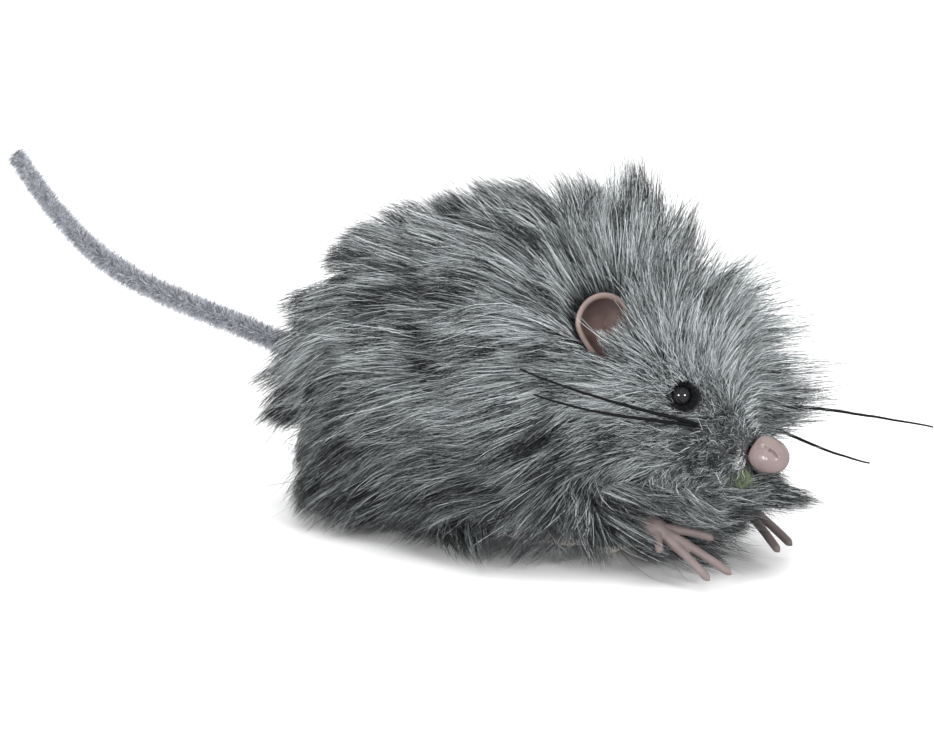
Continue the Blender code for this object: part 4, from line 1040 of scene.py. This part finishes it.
# Right forepaw, as in the frame's CAD: palm, finger tips and the arm's root
PALM = (50.5, -17.0, 13.0)
PALM_R = (4.2, 3.3, 2.3)
FINGER_TIPS = [(62.0, -9.5, 10.5), (70.0, -13.5, 4.2), (67.0, -18.0, 3.2), (58.0, -24.0, 7.5)]
FINGER_R = (1.3, 0.88)
ARM_ROOT = (40.5, -10.5, 17.5)
LEFT_PAW_SHIFT = (-1.5, -2.5, 0.6)
LEFT_SECOND_TIP = np.array([67.0, 8.5, 4.0])
OUTER_FINGER = 0.72  # length of the short outer finger, as a share of the CAD's
HAND_VOXEL = 0.26


def paw_point(side, point):
    x, y, z = point
    if side == "left":
        dx, dy, dz = LEFT_PAW_SHIFT
        return np.array([x + dx, -y + dy, z + dz])
    return np.array([x, y, z])


def bar(bm, start, end, start_r, end_r, bow, steps=14):
    """A round-ended, tapered and slightly bowed bar, added to a bmesh."""
    length = np.linalg.norm(end - start)
    across, up = across_and_up(end - start)
    rings = []
    for t in np.arange(steps) / steps:
        tip = max(0.0, (t * length - (length - end_r)) / end_r)
        r = (start_r + (end_r - start_r) * t) * math.sqrt(1 - tip * tip) * (1 + 0.06 * math.sin(t * 9))
        centre = start + (end - start) * t + up * bow * math.sin(math.pi * t)
        rings.append(ring(centre, across, up, r, steps))
    add_loft(bm, rings, tip=end)


def make_paws():
    skins = {
        "right": vinyl("right_paw_vinyl", (0.132, 0.104, 0.101), (0.178, 0.142, 0.138), (0.5, 0.68)),
        # The far, left forepaw is the same vinyl painted darker: painted shade under the body
        "left": vinyl("left_paw_vinyl_painted_shade", (0.092, 0.074, 0.072), (0.125, 0.101, 0.099), (0.5, 0.68)),
    }
    stretch = Matrix.Diagonal([r / 1000 for r in PALM_R] + [1.0])
    pad_shape = Matrix.Rotation(math.radians(28), 4, "Y") @ stretch
    for side in SIDES:
        palm = paw_point(side, PALM)
        bm = bmesh.new()
        for i, tip in enumerate(FINGER_TIPS):
            end = LEFT_SECOND_TIP if side == "left" and i == 1 else paw_point(side, tip)
            if i == 3:
                end = palm + (end - palm) * OUTER_FINGER
            bar(bm, palm + (end - palm) * 0.08, end, FINGER_R[0], FINGER_R[1], 0.5)
        bar(bm, paw_point(side, ARM_ROOT), palm, 2.0, 2.1, 0.0)
        pad = bmesh.ops.create_icosphere(bm, subdivisions=3, radius=1.0)["verts"]
        bmesh.ops.transform(bm, matrix=Matrix.Translation(at(*palm)) @ pad_shape, verts=pad)
        bmesh.ops.recalc_face_normals(bm, faces=bm.faces)
        hand = object_from(bm, f"{side}_hand")
        hand.data.materials.append(skins[side])
        fuse = hand.modifiers.new("Fuse", "REMESH")
        fuse.mode = "VOXEL"
        fuse.voxel_size = HAND_VOXEL / 1000
        fuse.use_smooth_shade = True
        soften = hand.modifiers.new("Soften", "SMOOTH")
        soften.factor = 0.5
        soften.iterations = 6
        finish_piece(hand, replaced=[f"{side}_forepaw"])


def whisker_ends(name):
    """(inner end, tip) of a CAD whisker, in mm."""
    points = node_points(name)
    reach = np.abs(points[:, 1])
    return points[reach < reach.min() + 0.6].mean(0), points[reach > reach.max() - 0.6].mean(0)


WHISKER_STEPS = 30
WHISKER_SAG = 1.6
LEFT_UPPER_RISE, RIGHT_LOWER_RISE = 2.2, 1.5  # how far two of them bow up


def make_whiskers():
    bristle, shader = principled("whisker_bristle", (0.004, 0.004, 0.005), 0.5, Specular_IOR_Level=0.15)
    vary_roughness(bristle, shader, 900.0, 0.4, 0.6)
    bump(bristle, shader, 3000.0, 0.3, 0.0001)
    rng = np.random.default_rng(SEED + 3)
    shares = np.linspace(0, 1, WHISKER_STEPS + 1)
    for side, row in itertools.product(SIDES, ROWS):
        name = f"{side}_whisker_{row}"
        start, tip = whisker_ends(name)
        across, up = across_and_up(unit(tip - start))
        wobble = np.cumsum(rng.normal(0, 0.035, (WHISKER_STEPS + 1, 2)), 0)
        wobble -= shares[:, None] * wobble[-1]
        line = start + (tip - start) * shares[:, None] + wobble @ np.stack([across, up])
        line[:, 2] -= WHISKER_SAG * 4 * shares * shares * (1 - shares)
        if name == "left_whisker_upper":
            line[:, 2] += LEFT_UPPER_RISE * np.sin(math.pi * shares).clip(0) ** 0.8
        if name == "right_whisker_lower":
            line[:, 2] += RIGHT_LOWER_RISE * (1 - shares) ** 1.5 * smoothstep(0, 0.08, shares)
        radii = 0.46 - 0.26 * shares**1.2
        whisker = loft(f"{name}_bristle", [ring(p, across, up, r, 8) for p, r in zip(line, radii)])
        whisker.data.materials.append(bristle)
        finish_piece(whisker, replaced=[name])


# -------- tail
TAIL_FIBRES = 25000
TAIL_PIECES = 3
TAIL_FIBRE_R = 0.065
TAIL_CORE_R = 1.3
CORE_TURNS = 12
CORE_TWIST = 1.3  # radians in a mm
TAIL_PILE = (2.4, 3.3)
TAIL_GREYS = 8


def make_tail():
    """Chenille: a twisted wire core and short fibres that stand out from it all round."""
    rng = np.random.default_rng(SEED + 4)
    wire = node_points("tail_wire")
    order = np.argsort(-wire[:, 0])
    fit = np.polynomial.Polynomial.fit(wire[order, 0], wire[order, 2], 6)
    low, high = box_mm("tail_pile")
    xs = np.linspace(high[0] - 0.2, low[0] + 1.4, 400)
    line = np.column_stack([xs, xs * 0, fit(xs)])
    reach = np.concatenate([[0], np.cumsum(np.linalg.norm(np.diff(line, axis=0), axis=1))])
    length = reach[-1]

    def along(distance):
        here, after, before = (
            np.stack([np.interp(distance + d, reach, line[:, k]) for k in range(3)], 1)
            for d in (0, 0.2, -0.2)
        )
        return here, unit(after - before)

    count = TAIL_FIBRES
    distance = rng.uniform(0, length, count)
    base, ahead = along(distance)
    turn = distance * 2.6 + np.where(rng.random(count) < 0.5, 0, math.pi) + rng.normal(0, 0.75, count)
    sideways = np.tile([0.0, 1.0, 0.0], (count, 1))
    up = np.cross(ahead, sideways)
    radial = sideways * np.cos(turn)[:, None] + up * np.sin(turn)[:, None]
    lengths = rng.uniform(*TAIL_PILE, count) * np.where(rng.random(count) < 0.04, 1.35, 1.0)
    lengths *= 0.86 + 0.14 * smoothstep(length, length * 0.6, distance)
    ways = unit(radial + rng.normal(0, 0.28, (count, 3)) - ahead * 0.15)
    curls = unit(rng.normal(0, 1, (count, 3)))
    paths = curled(base, ways, lengths, curls, 0.28)
    # Painted shade: fibres are painted darker near the body, under the rump's pile, and darker at their roots
    shade = np.clip(rng.normal(4.3, 1.5, count) - 2.2 * smoothstep(12, 0, distance), 0, TAIL_GREYS - 1)
    painted_root_shade = np.array([-1.6, -0.8, 0.0, 0.8])  # from root to tip: painted shade, darker towards the core
    shades = np.round(np.clip(shade[:, None] + painted_root_shade[None], 0, TAIL_GREYS - 1))
    materials = fibre_greys("chenille", (0.10, 0.104, 0.12), (0.76, 0.78, 0.84), TAIL_GREYS)
    stretch = np.minimum((distance / length * TAIL_PIECES).astype(int), TAIL_PIECES - 1)
    for i in range(TAIL_PIECES):
        pick = np.flatnonzero(stretch == i)
        thin = np.full(len(pick), TAIL_FIBRE_R)
        pile = fibre_mesh(f"tail_chenille_{i + 1}", paths[pick], thin, shades[pick], materials, turn[pick])
        finish_piece(pile)
    rings = []
    stations = np.linspace(0.2, length - 0.6, 90)
    for d, middle, way in zip(stations, *along(stations)):
        radii = TAIL_CORE_R * (1 + 0.18 * np.cos(2 * turns_of(CORE_TURNS) - d * CORE_TWIST))
        rings.append(ring(middle, np.array([0, 1.0, 0]), np.cross(way, (0, 1, 0)), radii, CORE_TURNS))
    core = loft("tail_core", rings)
    colours = (0.20, 0.207, 0.23), (0.32, 0.33, 0.36)
    felt, _ = surface("chenille_core", *colours, (0.8, 0.95), 900.0, 3000.0, 0.0003)
    core.data.materials.append(felt)
    finish_piece(core, replaced=["tail_pile"])


# -------- carried-over CAD nodes
def both(name):
    return [f"{side}_{name}" for side in SIDES]


# (material, its two colours, roughness, mottle scale, bump scale and depth, metallic, CAD nodes)
MECHANISM = [
    ("motor_steel", (0.50, 0.50, 0.51), (0.62, 0.62, 0.63), (0.22, 0.4), 120, 2600, 0.0001, 1.0, [
        *both("frame_plate"), "front_pillar", "middle_pillar", "spring_pillar", "second_pinion",
        "axle_pinion", "second_arbor", "rear_axle", "roller_pin", "winding_arbor", "click_spring",
        "base_screw_1", "base_screw_2", "base_screw_3", *both("eye_washer"), *both("ear_washer"),
        "nose_washer", "tail_wire",
    ]),
    ("gear_brass", (0.60, 0.42, 0.17), (0.72, 0.53, 0.25), (0.22, 0.4), 120, 2600, 0.0001, 1.0,
     ["great_wheel", "second_wheel"]),
    ("spring_steel", (0.16, 0.17, 0.22), (0.28, 0.28, 0.32), (0.2, 0.35), 200, 2600, 0.0001, 1.0,
     ["mainspring"]),
    ("key_plating", (0.58, 0.57, 0.54), (0.70, 0.69, 0.66), (0.16, 0.34), 150, 1800, 0.0001, 1.0,
     ["winding_key"]),
    ("shell_plastic", (0.20, 0.205, 0.21), (0.26, 0.265, 0.27), (0.4, 0.55), 90, 1800, 0.0002, 0.0,
     ["body_shell", "base_plate"]),
    ("wheel_nylon", (0.72, 0.70, 0.62), (0.80, 0.78, 0.71), (0.35, 0.5), 90, 1800, 0.0001, 0.0,
     [*both("drive_wheel"), "front_roller"]),
    ("tyre_rubber", (0.018, 0.018, 0.019), (0.035, 0.035, 0.037), (0.6, 0.8), 300, 1600, 0.0003, 0.0,
     both("tyre")),
]


def paint_mechanism():
    for *finish, nodes in MECHANISM:
        repaint(surface(*finish)[0], nodes)


# -------- stage, lights and camera
FLOOR_SIZE = 12.0
WORLD_LIGHT = 0.58
# (light, azimuth from the camera's and elevation in degrees, distance, size, power)
LIGHTS = [
    ("softbox_right", 38, 18, 1.1, 0.24, 7.0), ("softbox_left", -38, 18, 1.1, 0.24, 7.0),
    ("softbox_top", 10, 74, 1.2, 1.3, 14.0), ("softbox_back", 180, 45, 1.2, 0.8, 6.0),
]
LIT_POINT = (0, 0, 35)


def make_stage():
    bpy.ops.mesh.primitive_plane_add(size=FLOOR_SIZE)
    floor = bpy.context.object
    floor.name = "floor"
    floor.visible_glossy = False
    material, _ = principled("floor_white", (0.93, 0.93, 0.93), 0.9)
    floor.data.materials.append(material)
    world = bpy.data.worlds.new("studio")
    world.use_nodes = True
    set_inputs(world.node_tree.nodes["Background"], {"Color": (1.0, 1.0, 1.0, 1.0), "Strength": WORLD_LIGHT})
    bpy.context.scene.world = world


def from_azimuth(azimuth, elevation):
    """The direction towards a viewer who looks along +Y at azimuth 0."""
    level = math.cos(elevation)
    return Vector((math.sin(azimuth) * level, -math.cos(azimuth) * level, math.sin(elevation)))


def make_lights():
    """Round softboxes that face the mouse. The top one and the floor don't show in the glossy beads."""
    heart = at(*LIT_POINT)
    for name, azimuth, elevation, distance, size, power in LIGHTS:
        data = bpy.data.lights.new(name, "AREA")
        data.shape = "DISK"
        data.size = size
        data.energy = power
        lamp = link(bpy.data.objects.new(name, data))
        way = from_azimuth(CAMERA_AZIMUTH + math.radians(azimuth), math.radians(elevation))
        lamp.location = heart + way * distance
        lamp.rotation_euler = (-way).to_track_quat("-Z", "Y").to_euler()
        lamp.visible_glossy = name != "softbox_top"


def make_camera():
    data = bpy.data.cameras.new("camera")
    data.sensor_width = 36.0
    data.lens = data.sensor_width * CAMERA_DISTANCE / FRAME_WIDTH
    camera = link(bpy.data.objects.new("camera", data))
    way = from_azimuth(CAMERA_AZIMUTH, CAMERA_ELEVATION)
    camera.location = at(*CAMERA_AIM) + way * CAMERA_DISTANCE
    camera.rotation_euler = (-way).to_track_quat("-Z", "Y").to_euler()
    bpy.context.scene.camera = camera


make_camera()
make_stage()
make_lights()
bpy.context.scene.view_settings.view_transform = "Standard"

paint_mechanism()
make_eyes()
make_ears()
make_nose()
make_paws()
make_whiskers()
make_muzzle_wool()
make_tail()
skin = Skin()
fur = make_fur(skin)
pelt, pelt_area = make_pelt(skin)
